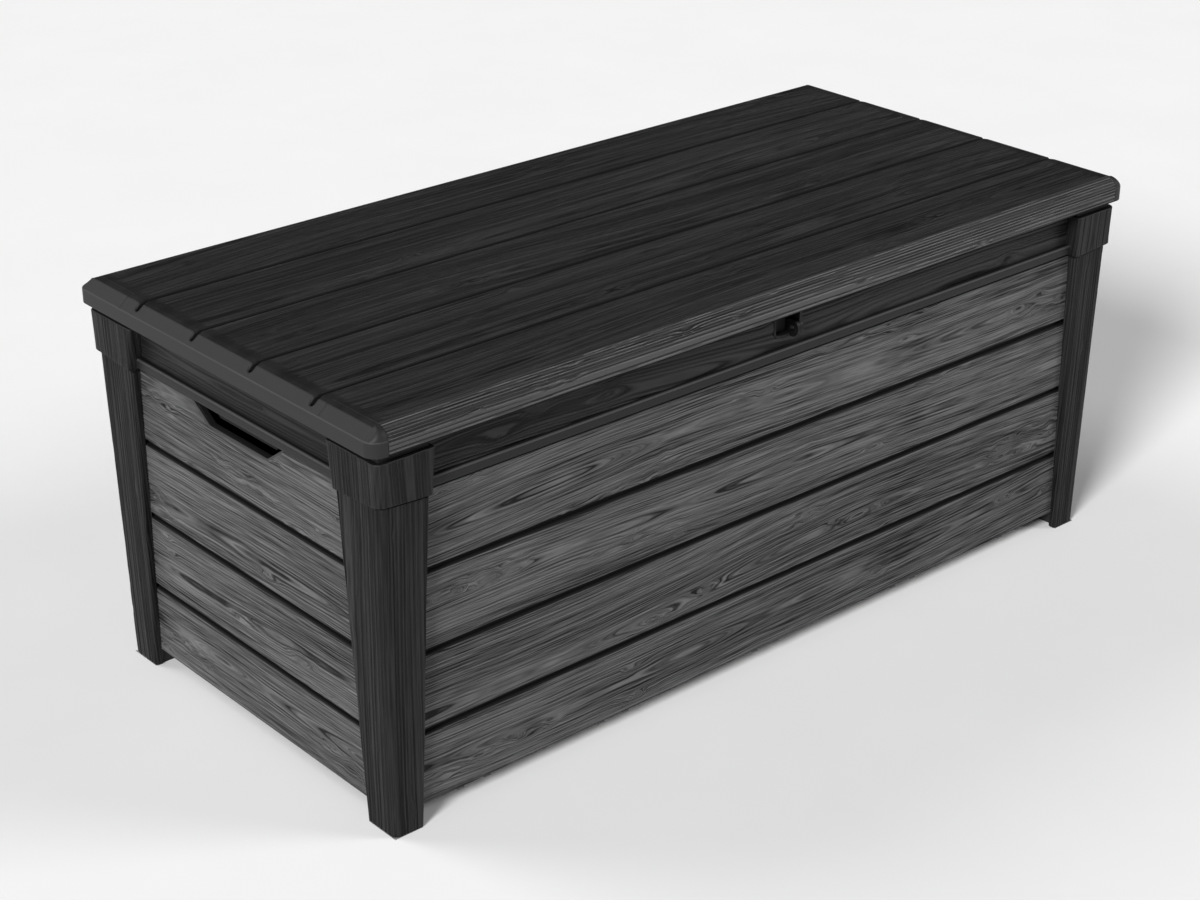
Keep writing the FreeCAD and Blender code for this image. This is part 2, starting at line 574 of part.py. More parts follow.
def lid_moulding():
    """Five boards in one shell: bevelled ends, bull-nosed front, ribs beneath."""
    body = new_body("lid_shell")
    half_x = "overall_length / 2"
    half_y = "overall_depth / 2"
    section = new_sketch(body, "lid_section", "YZ_Plane")
    add_polygon(section, [
        (f"-{half_y}", "lip_height"), (f"-{half_y}", "overall_height"),
        (f"{half_y} - rear_bevel_run", "overall_height"),
        (f"{half_y} - rear_chamfer_run", "chamfer_head"),
        (half_y, "chamfer_foot"), (half_y, "lip_height")])
    block = extrude(body, "Pad", "lid_block", section, "overall_length", symmetric=True)
    doc.recompute()
    nose = body.newObject("PartDesign::Fillet", "lid_nose")
    nose.Base = (block, [find_edge(block, number(f"-{half_y}"), number("overall_height"))])
    nose.setExpression("Radius", bind("nose_radius"))
    ends = new_sketch(body, "lid_ends", "XZ_Plane")
    for side in (-1, 1):
        add_polygon(ends, [
            (f"{side} * {half_x}", "chamfer_foot"),
            (f"{side} * ({half_x} - end_chamfer_run)", "chamfer_head"),
            (f"{side} * ({half_x} - end_bevel_run)", "overall_height"),
            (f"{side} * ({half_x} - end_bevel_run)", "overall_height + 5"),
            (f"{side} * ({half_x} + 5)", "overall_height + 5"),
            (f"{side} * ({half_x} + 5)", "chamfer_foot")])
    extrude(body, "Pocket", "lid_end_cut", ends, "2 * overall_depth", symmetric=True)
    corners = new_sketch(body, "lid_corners", "XY_Plane", "lip_height - 5")
    add_rectangle(corners, f"-{half_x} - 5", f"{half_x} + 5", f"-{half_y} - 5", f"{half_y} + 5")
    add_rounded_rectangle(corners, half_x, half_y, "lid_corner")
    extrude(body, "Pocket", "lid_corner_cut", corners, "60", flip=True)
    grooves = new_sketch(body, "lid_grooves", "YZ_Plane")
    for i in range(4):
        add_polygon(grooves, [
            (f"{groove_at(i)} - groove_mouth / 2", "overall_height + 1"),
            (f"{groove_at(i)} - groove_floor / 2", "overall_height - groove_depth"),
            (f"{groove_at(i)} + groove_floor / 2", "overall_height - groove_depth"),
            (f"{groove_at(i)} + groove_mouth / 2", "overall_height + 1")])
    extrude(body, "Pocket", "lid_groove_cut", grooves,
            "overall_length - 2 * groove_end_inset", symmetric=True)
    lip = new_sketch(body, "lid_lip", "XY_Plane", "lip_height")
    add_rounded_rectangle(lip, f"{half_x} - lid_wall", f"{half_y} - lid_wall",
                          "lid_corner - lid_wall")
    extrude(body, "Pocket", "lid_lip_cut", lip, "lip_ceiling - lip_height", flip=True)
    hollow = new_sketch(body, "lid_hollow", "XY_Plane", "lip_ceiling")
    add_rectangle(hollow, f"-{half_x} + ceiling_inset", f"{half_x} - ceiling_inset",
                  f"-{half_y} + ceiling_inset", f"{half_y} - ceiling_inset")
    extrude(body, "Pocket", "lid_hollow_cut", hollow, "lid_ceiling - lip_ceiling", flip=True)
    start = "-(lid_cell_count - 1) / 2 * lid_cell_pitch"
    reach = "(lid_cell_pitch - lid_rib) / 2"
    cells = new_sketch(body, "lid_cells", "XY_Plane", "lid_ceiling")
    edges = ["-front_cell_edge - rib_half"] + [groove_at(i) for i in range(4)]
    edges.append("rear_cell_edge + rib_half")
    for near, far in zip(edges[:-1], edges[1:]):
        add_rectangle(cells, f"{start} - {reach}", f"{start} + {reach}",
                      f"{near} + rib_half", f"{far} - rib_half")
    cell_cut = extrude(body, "Pocket", "lid_cell_cut", cells,
                       "cell_ceiling - lid_ceiling", flip=True)
    doc.recompute()
    pattern(body, "lid_cell_rows", cell_cut, "X_Axis", "lid_cell_pitch", "lid_cell_count")
    return body


def find_edge(feature, y, z):
    """The name of the edge that runs along X at the given place."""
    for i, edge in enumerate(feature.Shape.Edges, start=1):
        ends = [vertex.Point for vertex in edge.Vertexes]
        if all(abs(p.y - y) < 0.01 and abs(p.z - z) < 0.01 for p in ends):
            return f"Edge{i}"
    raise ValueError("no such edge")


keep(lid_moulding(), "lid_shell")


def lid_beam(name, y):
    """A square steel tube clipped under the ribs, so that the lid is a seat."""
    low = "lid_ceiling - beam_size"
    outer = box(name + "_outer", "-beam_half_length", f"{y} - beam_size / 2", low,
                "2 * beam_half_length", "beam_size", "beam_size")
    inner = box(name + "_bore", "-beam_half_length - 1", f"{y} - beam_size / 2 + beam_wall",
                f"{low} + beam_wall", "2 * beam_half_length + 2",
                "beam_size - 2 * beam_wall", "beam_size - 2 * beam_wall")
    return keep(cut(name, outer, inner), name)


lid_beam("lid_beam_front", "-beam_offset")
lid_beam("lid_beam_back", "beam_offset")


# ---------------------------------------------------------------- padlock hasp
def hasp_disc(name, x):
    """A round plate end, kept clear of the band that it stands in front of."""
    disc = rod_x(name + "_disc", x, "-hasp_y", "hasp_z", "hasp_radius", "hasp_thick")
    behind = box(name + "_behind", f"{x} - 1", "-band_y - 0.5", "hasp_z - hasp_radius - 1",
                 "hasp_thick + 2", "40", "recess_floor + 0.5 - (hasp_z - hasp_radius - 1)")
    return cut(name + "_round", disc, behind)


def hasp_tab(name, x, arm_y, arm_z, arm_width, arm_height):
    """The round end, an arm that holds it, and the padlock hole through both."""
    arm = box(name + "_arm", x, arm_y, arm_z, "hasp_thick", arm_width, arm_height)
    solid = fuse(name + "_solid", [hasp_disc(name, x), arm])
    hole = rod_x(name + "_hole", f"{x} - 1", "-hasp_y", "hasp_z", "hasp_hole", "hasp_thick + 2")
    return keep(cut(name, solid, hole), name)


recess_back = "(-band_y + recess_depth)"
hasp_tab("hasp_body_tab", "hasp_body_x", "-hasp_y", "recess_floor + 0.5",
         f"{recess_back} + hasp_y", "hasp_z + hasp_arm_half - recess_floor")
hasp_tab("hasp_lid_tab", "hasp_lid_x", "-hasp_y - hasp_arm_half", "hasp_z",
         f"{recess_back} - hasp_gap + hasp_y + hasp_arm_half", "lid_ceiling - hasp_z")


# --------------------------------------------------------------------- hinges
UPWARDS = (FreeCAD.Vector(1, 0, 0), "0")
TOWARDS_X = {1: (FreeCAD.Vector(0, 1, 0), "90"), -1: (FreeCAD.Vector(0, 1, 0), "-90")}
TOWARDS_Y = {1: (FreeCAD.Vector(1, 0, 0), "-90"), -1: (FreeCAD.Vector(1, 0, 0), "90")}


def screw(name, x, y, z, direction, length="screw_length"):
    """A pan-head screw: its head seats at the given point and its shank goes on."""
    head = rod_z(name + "_head", "-screw_head_height", "screw_head", "screw_head_height")
    shank = rod_z(name + "_shank", "-1", "screw_radius", f"{length} + 1")
    return place(fuse(name, [head, shank]), x, y, z, *direction)


def hinge(name, x):
    """Two leaves and a pin: fixed knuckles outside, the lid's knuckle between."""
    left = f"{x} - hinge_width / 2"
    body_pieces = [box(name + "_leaf", left, "band_y", "leaf_bottom",
                       "hinge_width", "leaf_thick", "leaf_top - leaf_bottom + 12")]
    for hand, start in ((0, left), (1, f"{x} + hinge_width / 2 - body_knuckle")):
        body_pieces.append(rod_x(f"{name}_fixed_{hand}", start, "hinge_y", "hinge_z",
                                 "knuckle_radius", "body_knuckle"))
        body_pieces.append(box(f"{name}_web_{hand}", start, "band_y", "leaf_top",
                               "body_knuckle", "hinge_y - band_y", "hinge_z - leaf_top + 2"))
    fixed = fuse(name + "_fixed", body_pieces)
    fixed_bore = rod_x(name + "_fixed_bore", f"{left} - 1", "hinge_y", "hinge_z",
                       "pin_radius", "hinge_width + 2")
    keep(cut(name + "_body_leaf", fixed, fixed_bore), name + "_body_leaf")

    lid_left = f"{left} + body_knuckle + knuckle_play"
    lid_width = "hinge_width - 2 * body_knuckle - 2 * knuckle_play"
    skirt = "(overall_depth / 2 - lid_wall)"
    barrel = rod_x(name + "_moving", lid_left, "hinge_y", "hinge_z", "knuckle_radius", lid_width)
    web = box(name + "_moving_web", lid_left, "hinge_y", "hinge_z", lid_width,
              f"{skirt} - hinge_y", "lip_ceiling - hinge_z")
    moving = fuse(name + "_moving_solid", [barrel, web])
    moving_bore = rod_x(name + "_moving_bore", f"{left} - 1", "hinge_y", "hinge_z",
                        "pin_radius + knuckle_gap", "hinge_width + 2")
    keep(cut(name + "_lid_leaf", moving, moving_bore), name + "_lid_leaf")
    pin = rod_x(name + "_pin", left, "hinge_y", "hinge_z", "pin_radius", "hinge_width")
    keep(pin, name + "_pin")


hinge_places = (("hinge_left", "-hinge_spacing"), ("hinge_middle", "0"),
                ("hinge_right", "hinge_spacing"))
hinge_screws = []
for hinge_name, hinge_x in hinge_places:
    hinge(hinge_name, hinge_x)
    for column in (-1, 0, 1):
        hinge_screws.append(screw(f"{hinge_name}_screw_{column + 1}",
                                  f"{hinge_x} + {column} * hinge_screw_pitch",
                                  "band_y + leaf_thick", "leaf_bottom + screw_inset",
                                  TOWARDS_Y[-1]))


def group(name, pieces):
    """Identical fasteners share one sub-part as separate solids."""
    obj = doc.addObject("Part::Compound", name)
    obj.Links = pieces
    return keep(obj, name)


group("hinge_screws", hinge_screws)


# ----------------------------------------------------------------- gas struts
def strut_tilt():
    """How far the closed strut leans from upright, towards the front."""
    return "atan2(strut_foot_y - strut_head_y; strut_head_z - strut_foot_z)"


closed_length = "sqrt((strut_foot_y - strut_head_y)^2 + (strut_head_z - strut_foot_z)^2)"


def eye(name, centre):
    """A ring round a stud, its bore along X."""
    ring = rod_x(name + "_ring", "-eye_width / 2", "0", centre, "eye_radius", "eye_width")
    bore = rod_x(name + "_bore", "-eye_width / 2 - 1", "0", centre, "eye_bore", "eye_width + 2")
    return ring, bore


def stand_up(obj, name):
    """Put a strut piece, drawn along +Z from its lower eye, in its closed place."""
    place(obj, "-strut_x", "strut_foot_y", "strut_foot_z", FreeCAD.Vector(1, 0, 0), strut_tilt())
    return keep(obj, name)


ring, bore = eye("strut_foot", "0")
barrel = rod_z("tube_barrel", "tube_start", "tube_radius", "tube_end - tube_start")
neck = rod_z("tube_neck", "0", "tube_neck_radius", "tube_start + 2")
cavity = rod_z("tube_cavity", "tube_start + tube_cap", "tube_bore",
               "tube_end - tube_start - 2 * tube_cap")
mouth = rod_z("tube_mouth", "tube_end - tube_cap - 1", "rod_bore", "tube_cap + 2")
cylinder = cut("strut_cylinder_left", fuse("tube_solid", [barrel, neck, ring]),
               fuse("tube_voids", [cavity, mouth, bore]))
stand_up(cylinder, "strut_cylinder_left")

shaft = rod_z("rod_shaft", "piston_start", "rod_radius",
              f"{closed_length} - eye_radius + rod_thread - piston_start")
piston = rod_z("rod_piston", "piston_start", "piston_radius", "piston_height")
stand_up(fuse("strut_rod_left", [shaft, piston]), "strut_rod_left")

head_ring = rod_x("head_ring", "-eye_width / 2", "0", closed_length, "eye_radius", "eye_width")
stud_reach = "strut_plate_gap - eye_width / 2 - plate_clearance"
head_stud = rod_x("head_stud", f"-eye_width / 2 - ({stud_reach})", "0", closed_length,
                  "stud_radius", stud_reach)
head_flange = rod_x("head_flange_disc", f"-eye_width / 2 - ({stud_reach})", "0", closed_length,
                    "stud_flange", "stud_flange_thick")
stand_up(fuse("strut_rod_end_left", [head_ring, head_stud, head_flange]), "strut_rod_end_left")

plate_face = f"(-{face_at('x', 'strut_foot_z - foot_plate_z / 2')} + panel_thick)"
foot_plate = box("foot_plate", plate_face, "strut_foot_y - foot_plate_y / 2",
                 "strut_foot_z - foot_plate_z / 2", "strut_plate", "foot_plate_y", "foot_plate_z")
foot_stud = rod_x("foot_stud", plate_face, "strut_foot_y", "strut_foot_z", "stud_radius",
                  f"-strut_x + eye_width / 2 + plate_clearance + stud_flange_thick - {plate_face}")
foot_boss = rod_x("foot_boss", plate_face, "strut_foot_y", "strut_foot_z", "stud_flange",
                  f"-strut_x - eye_width / 2 - plate_clearance - {plate_face}")
foot_cap = rod_x("foot_cap", "-strut_x + eye_width / 2 + plate_clearance", "strut_foot_y",
                 "strut_foot_z", "stud_flange", "stud_flange_thick")
keep(fuse("strut_foot_bracket_left", [foot_plate, foot_stud, foot_boss, foot_cap]),
     "strut_foot_bracket_left")

head_plate = box("head_plate", "-strut_x - strut_plate_gap - strut_plate",
                 "strut_head_y - head_plate_y / 2", "lid_ceiling - head_plate_z", "strut_plate",
                 "head_plate_y", "head_plate_z")
head_shelf = box("head_shelf", "-strut_x - strut_plate_gap", "strut_head_y - head_plate_y / 2",
                 "lid_ceiling - strut_plate", "head_shelf_width", "head_plate_y", "strut_plate")
keep(fuse("strut_head_bracket_left", [head_plate, head_shelf]), "strut_head_bracket_left")

for piece in ("strut_cylinder", "strut_rod", "strut_rod_end",
              "strut_foot_bracket", "strut_head_bracket"):
    mirrored(doc.getObject(piece + "_left"), piece + "_right", ACROSS_X)

foot_screws = []
head_screws = []
for side in (-1, 1):
    for i, (across, up) in enumerate(((-1, -1), (1, -1), (-1, 1), (1, 1))):
        foot_screws.append(screw(
            f"foot_screw_{side + 1}_{i}", f"{-side} * ({plate_face} + strut_plate)",
            f"strut_foot_y + {across} * foot_screw_y", f"strut_foot_z + {up} * foot_screw_z",
            TOWARDS_X[side]))
    for i, along in enumerate((-1, 1)):
        head_screws.append(screw(
            f"head_screw_{side + 1}_{i}",
            f"{side} * (strut_x + strut_plate_gap - head_shelf_width / 2)",
            f"strut_head_y + {along} * head_screw_y", "lid_ceiling - strut_plate", UPWARDS))
group("strut_foot_screws", foot_screws)
group("strut_head_screws", head_screws)

beam_screws = []
beam_screw_places = ("-beam_screw_far", "-beam_screw_near", "beam_screw_near", "beam_screw_far")
for row, y in enumerate(("-beam_offset", "beam_offset")):
    for column, x in enumerate(beam_screw_places):
        beam_screws.append(screw(f"beam_screw_{row}_{column}", x, y, "lid_ceiling - beam_size",
                                 UPWARDS, "beam_screw_length"))
group("lid_beam_screws", beam_screws)

post_screws = []
for side_x in (-1, 1):
    for side_y in (-1, 1):
        for level, z in enumerate(POST_SCREW_HEIGHTS):
            corner_name = f"{side_x + 1}_{side_y + 1}_{level}"
            post_screws.append(screw(
                "long_wall_screw_" + corner_name, f"{side_x} * post_screw_x",
                f"{side_y} * ({face_at('y', z)} - panel_thick)", z, TOWARDS_Y[side_y],
                "post_screw_length"))
            post_screws.append(screw(
                "end_wall_screw_" + corner_name, f"{side_x} * ({face_at('x', z)} - panel_thick)",
                f"{side_y} * post_screw_y", z, TOWARDS_X[side_x], "post_screw_length"))
group("post_screws", post_screws)


# --------------------------------------------------------------------- export
def check_model():
    """Stop if any feature failed, or any sub-part is empty or broken."""
    doc.recompute()
    for obj in doc.Objects:
        if "Invalid" in obj.State or "Error" in obj.State:
            raise RuntimeError(f"{obj.Name} failed: {obj.State}")
    for obj in parts:
        shape = obj.Shape
        if shape.isNull() or not shape.isValid() or not shape.Solids:
            raise RuntimeError(f"{obj.Label} has no sound solid")


check_model()
os.makedirs("parts", exist_ok=True)
for obj in parts:
    obj.Shape.exportStep(f"parts/{obj.Label}.step")
    print(f"{obj.Label}: {len(obj.Shape.Solids)} solid(s), {obj.Shape.Volume / 1e6:.3f} litres")
print(f"{len(parts)} sub-parts")
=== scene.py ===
"""Looks of the deck storage box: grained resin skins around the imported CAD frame.

Metres throughout, in the frame of the part: X along the length, the front
faces -Y, Z up. Every skin takes its place from the CAD node that it stands for.
"""

import json
import math
from dataclasses import dataclass

import bmesh
import bpy
import numpy as np
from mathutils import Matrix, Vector


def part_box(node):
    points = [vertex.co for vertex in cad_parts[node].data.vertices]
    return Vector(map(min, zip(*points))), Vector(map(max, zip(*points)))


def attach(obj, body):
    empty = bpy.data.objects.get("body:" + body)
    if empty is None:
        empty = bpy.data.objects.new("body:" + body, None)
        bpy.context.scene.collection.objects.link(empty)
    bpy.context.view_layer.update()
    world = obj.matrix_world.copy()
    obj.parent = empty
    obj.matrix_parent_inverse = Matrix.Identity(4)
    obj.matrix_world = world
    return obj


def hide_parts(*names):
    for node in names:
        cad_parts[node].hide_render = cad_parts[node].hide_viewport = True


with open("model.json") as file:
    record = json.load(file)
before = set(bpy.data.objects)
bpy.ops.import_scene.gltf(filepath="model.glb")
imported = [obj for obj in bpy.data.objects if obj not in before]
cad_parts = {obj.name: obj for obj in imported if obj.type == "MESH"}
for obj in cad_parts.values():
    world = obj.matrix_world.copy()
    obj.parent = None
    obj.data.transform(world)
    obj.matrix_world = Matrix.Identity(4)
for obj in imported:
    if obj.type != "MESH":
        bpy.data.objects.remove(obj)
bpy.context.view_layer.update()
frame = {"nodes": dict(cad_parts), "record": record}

MM = 0.001
SIDES = {  # name: (along the wall, outwards), both in plan
    "front": ((1, 0), (0, -1)),
    "back": ((-1, 0), (0, 1)),
    "left": ((0, -1), (-1, 0)),
    "right": ((0, 1), (1, 0)),
}
LONG_SIDES = ("front", "back")

# ------------------------------------------------------------ driving sizes
lid_low, lid_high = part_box("lid_shell")
LID_X, LID_Y, LID_TOP, LIP = lid_high.x, lid_high.y, lid_high.z, lid_low.z
LID_CORNER = 20 * MM
NOSE = 18 * MM  # radius of the round front edge
# (distance in, height) along each bevel of the lid, in mm
END_EDGE = ((0, 585.8), (0.35, 586.75), (1.0, 587.6), (15.1, 600.4), (23.2, 603))
REAR_EDGE = ((0, 585.8), (0.35, 586.7), (1.0, 587.4), (20, 600.4), (28, 603))
EDGE_WALL = (566, 567.5, 571, 576, 581, 584.5, 585.4)  # heights in mm, from the lip up to the bevel
HIGHLIGHT_LINE = (585.75 * MM, 587.5 * MM)  # heights of the painted highlight line at the foot of the bevel
BOARD_PITCH = 137.3 * MM
BOARD_SHIFT = -5.8 * MM
LID_GROOVE = 8.5 * MM
SEAM_END = 24.6 * MM  # the witness line of the mould, in from each end
SEAM_SIDE = 235 * MM

panel_low, panel_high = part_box("front_panel")
PANEL_LOW, PANEL_HIGH = panel_low.z, panel_high.z
FIRST_GAP = 137 * MM
PLANK_PITCH = 118.3 * MM
PLANK_GAP = 8 * MM
GAP_DEPTH = 7 * MM
PLANK_ROUND = 4.5 * MM
WALL = 12 * MM  # thickness of a wall
# each wall's outer face: how far out it is at the ground, and how much further per metre up
LEAN = {"long": (315.9 * MM, 0.0115), "end": (690.9 * MM, 0.0135)}

BAND = {"long": 318.5 * MM, "end": 694.5 * MM}
LEDGE = {"long": 326.4 * MM, "end": 702.5 * MM}
LEDGE_FOOT, LEDGE_TOP = 490.8 * MM, 505 * MM
LEDGE_HALF = {"long": 629.5 * MM, "end": 241.5 * MM}
LIP_FOOT, LIP_SPAN = 484.6 * MM, (-104 * MM, 40 * MM)
BAND_HALF = {"long": 650 * MM, "end": 300 * MM}
RAIL_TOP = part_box("front_rail")[1].z

COLLAR_LOW, COLLAR_HIGH = 491.5 * MM, 553.3 * MM
COLLAR_LIFT, COLLAR_DROP = 1.7 * MM, 3.5 * MM
POST_ROUND = {"shaft": (10 * MM, 3 * MM), "collar": (12 * MM, 4.5 * MM)}
POST_RUNS = (8, 52, 60, 8)  # pieces that each straight run of a post's outline is divided into
POST_LENGTH, POST_WRAP = 550 * MM, 180 * MM  # the face that the post's grain covers
WALLS_INSIDE = (680 * MM, 310 * MM)  # X and Y just inside the walls
SLOT_TOP_HALF, SLOT_BOTTOM_HALF, SLOT_BOTTOM = 109 * MM, 69 * MM, 460.5 * MM
SLOT_ROUND, RIM = 10 * MM, 3.2 * MM
RECESS_LEFT, RECESS_RIGHT, RECESS_LOW, RECESS_DEEP = -13 * MM, 35 * MM, 524 * MM, 9.5 * MM


def group_of(side):
    return "long" if side in LONG_SIDES else "end"


def outwards_of(side):
    return np.array((*SIDES[side][1], 0.0))


# -------------------------------------------------------------------- noise
def scatter(i, j, seed):
    """A repeatable random number from 0 to 1 for each whole-number pair."""
    n = i.astype(np.int64) * 374761393 + j.astype(np.int64) * 668265263 + seed * 974711
    n = (n ^ (n >> 13)) & 0x7FFFFFFF
    n = (n * 1274126177) & 0x7FFFFFFF
    n = (n ^ (n >> 16)) & 0xFFFF
    return n / 65535.0


def noise(x, y, seed):
    """Smooth random values from 0 to 1 over a plane."""
    x, y = np.broadcast_arrays(np.asarray(x, float), np.asarray(y, float))
    cell_x, cell_y = np.floor(x), np.floor(y)
    blend_x = (x - cell_x) ** 2 * (3 - 2 * (x - cell_x))
    blend_y = (y - cell_y) ** 2 * (3 - 2 * (y - cell_y))
    low = scatter(cell_x, cell_y, seed) * (1 - blend_x) + scatter(cell_x + 1, cell_y, seed) * blend_x
    high = (scatter(cell_x, cell_y + 1, seed) * (1 - blend_x)
            + scatter(cell_x + 1, cell_y + 1, seed) * blend_x)
    return low * (1 - blend_y) + high * blend_y


def ease(value, low, high):
    """0 below low, 1 above high, smooth between."""
    t = np.clip((value - low) / (high - low), 0, 1)
    return t * t * (3 - 2 * t)


# --------------------------------------------------------------- wood grain
@dataclass
class Grain:
    """One way of embossing wood, as the year rings of an imagined log."""

    line: float  # width of a bold line
    depth: float  # of the hollows between the lines
    heart: float  # how far the log's heart lies under the face
    wander: float  # how much that changes along the wood
    drift: float  # how far the heart moves sideways
    knots: int
    knot_size: float
    swirl: float  # strength of the swirls round knots
    bold: float  # share of bold lines, against thin ones
    waver: float
    comb: float  # share of evenly spaced lines

    def rings(self, u, v, length, width, seed):
        """Distance from an imagined log's heart, whose level lines are the year rings, and swirls."""
        random = np.random.default_rng(seed)
        offset = random.uniform(0, 100)
        depth = self.heart + self.wander * (
            noise(u * 3.1 + offset, v * 0, seed) + 0.5 * noise(u * 8.3 + offset, v * 3, seed + 1))
        middle = width * random.uniform(0.1, 0.9)
        middle = middle + self.drift * (noise(u * 1.7 + offset, v * 0, seed + 2) - 0.5)
        field = np.sqrt((v - middle) ** 2 + depth ** 2)
        swirled = ease(noise(u * 6 + offset, v * 28, seed + 7), 0.74, 0.86) * self.swirl
        for _ in range(self.knots):
            knot_u, knot_v = random.uniform(0.04, 0.96) * length, random.uniform(0.12, 0.88) * width
            size = self.knot_size * random.uniform(0.6, 1.3)
            stretch = random.uniform(2.5, 5.0)
            away = ((u - knot_u) / (stretch * size)) ** 2 + ((v - knot_v) / size) ** 2
            field = field + 1.1 * size * random.choice((-1.0, 1.0)) * np.exp(-away)
            swirled = np.maximum(swirled, self.swirl * np.exp(-0.5 * away))
        warp = self.waver * (noise(u * 7 + offset, v * 40, seed + 3) - 0.5)
        churn = 0.0075 * (noise(u * 55 + offset, v * 170, seed + 8) - 0.5)
        return field + warp + swirled * churn, swirled

    def height(self, u, v, length, width, seed):
        """The ridge height from 0 to 1, and the ring distance that finer lines follow."""
        ring, swirled = self.rings(u, v, length, width, seed)
        bold = noise(ring / self.line, u * 1.4, seed + 4)
        drift = 6 * noise(ring / (5 * self.line), u * 1.6, seed + 10)
        bold = bold + self.comb * (0.5 + 0.5 * np.sin(math.pi * ring / self.line + drift) - bold)
        thin = noise(ring / (0.5 * self.line), u * 3.0, seed + 5)
        broad = noise(ring / (4.5 * self.line), u * 1.1, seed + 9)
        dashes = noise(ring / (0.6 * self.line), u * 42, seed + 6)
        straight = self.bold * bold + (1 - self.bold) * thin
        lines = straight * (1 - 0.6 * swirled) + dashes * 0.6 * swirled
        return ease(0.82 * lines + 0.18 * broad, 0.30, 0.70), ring


PLANK_GRAIN = Grain(1.8 * MM, 1.00 * MM, 5 * MM, 9 * MM, 36 * MM, 4, 6 * MM, 1.0, 0.65, 1.8 * MM, 0.35)
LID_GRAIN = Grain(2.2 * MM, 0.60 * MM, 5 * MM, 8 * MM, 44 * MM, 3, 6 * MM, 0.8, 0.55, 1.6 * MM, 0.3)
NOSE_GRAIN = Grain(2.4 * MM, 1.5 * MM, 0.5 * MM, 2.5 * MM, 5 * MM, 9, 3.2 * MM, 0.0, 1.0, 1.0 * MM, 0.75)
BAND_GRAIN = {
    "long": Grain(2.3 * MM, 1.4 * MM, 3 * MM, 12 * MM, 36 * MM, 9, 7 * MM, 0.5, 0.85, 2.0 * MM, 0.35),
    "end": Grain(2.1 * MM, 0.9 * MM, 3 * MM, 6 * MM, 20 * MM, 3, 5 * MM, 0.3, 0.8, 1.6 * MM, 0.3),
}
POST_GRAIN = Grain(2.5 * MM, 0.9 * MM, 4 * MM, 8 * MM, 20 * MM, 4, 4 * MM, 0.2, 0.75, 1.2 * MM, 0.3)


# ------------------------------------------------------------ mesh building
def rounded_path(corners, step=math.inf):
    """Points along a polyline whose corners, given as (a, b, radius), are round."""
    points = [np.array(corners[0][:2], float)]
    for before, corner, after in zip(corners, corners[1:], corners[2:]):
        here = np.array(corner[:2], float)
        arrive = here - np.array(before[:2], float)
        leave = np.array(after[:2], float) - here
        arrive, leave = arrive / np.linalg.norm(arrive), leave / np.linalg.norm(leave)
        cross = arrive[0] * leave[1] - arrive[1] * leave[0]
        turn = math.atan2(cross, float(arrive @ leave))
        radius = corner[2]
        if radius <= 0 or abs(turn) < 1e-6:
            points.append(here)
            continue
        start = here - arrive * radius * math.tan(abs(turn) / 2)
        side = math.copysign(1, turn)
        centre = start + side * radius * np.array((-arrive[1], arrive[0]))
        pieces = max(2, math.ceil(abs(turn) / math.radians(15)))
        for k in range(pieces + 1):
            angle = turn * k / pieces
            arm = start - centre
            points.append(centre + np.array((
                arm[0] * math.cos(angle) - arm[1] * math.sin(angle),
                arm[0] * math.sin(angle) + arm[1] * math.cos(angle))))
    points.append(np.array(corners[-1][:2], float))
    return subdivided(points, step)


def subdivided(points, step):
    """The same line with no run longer than step."""
    result = [points[0]]
    for start, end in zip(points, points[1:]):
        count = max(1, math.ceil(np.linalg.norm(end - start) / step - 1e-6))
        result += [start + (end - start) * k / count for k in range(1, count + 1)]
    return np.array(result)


def arc_length(points):
    steps = np.linalg.norm(np.diff(points, axis=0), axis=1)
    return np.concatenate([[0], np.cumsum(steps)])


def path_normals(points):
    """Unit normals on the right-hand side of a line in its own plane."""
    tangent = np.gradient(points, axis=0)
    tangent /= np.linalg.norm(tangent, axis=1, keepdims=True)
    return np.stack([tangent[:, 1], -tangent[:, 0]], 1)


def spaced(low, high, step):
    return np.linspace(low, high, max(2, math.ceil((high - low) / step) + 1))


PLAIN = (0.5, 0.0, 0.0)
THREADS_ACROSS, THREADS_ALONG = 620.0, 9.0  # how fine the thin lines are, per metre


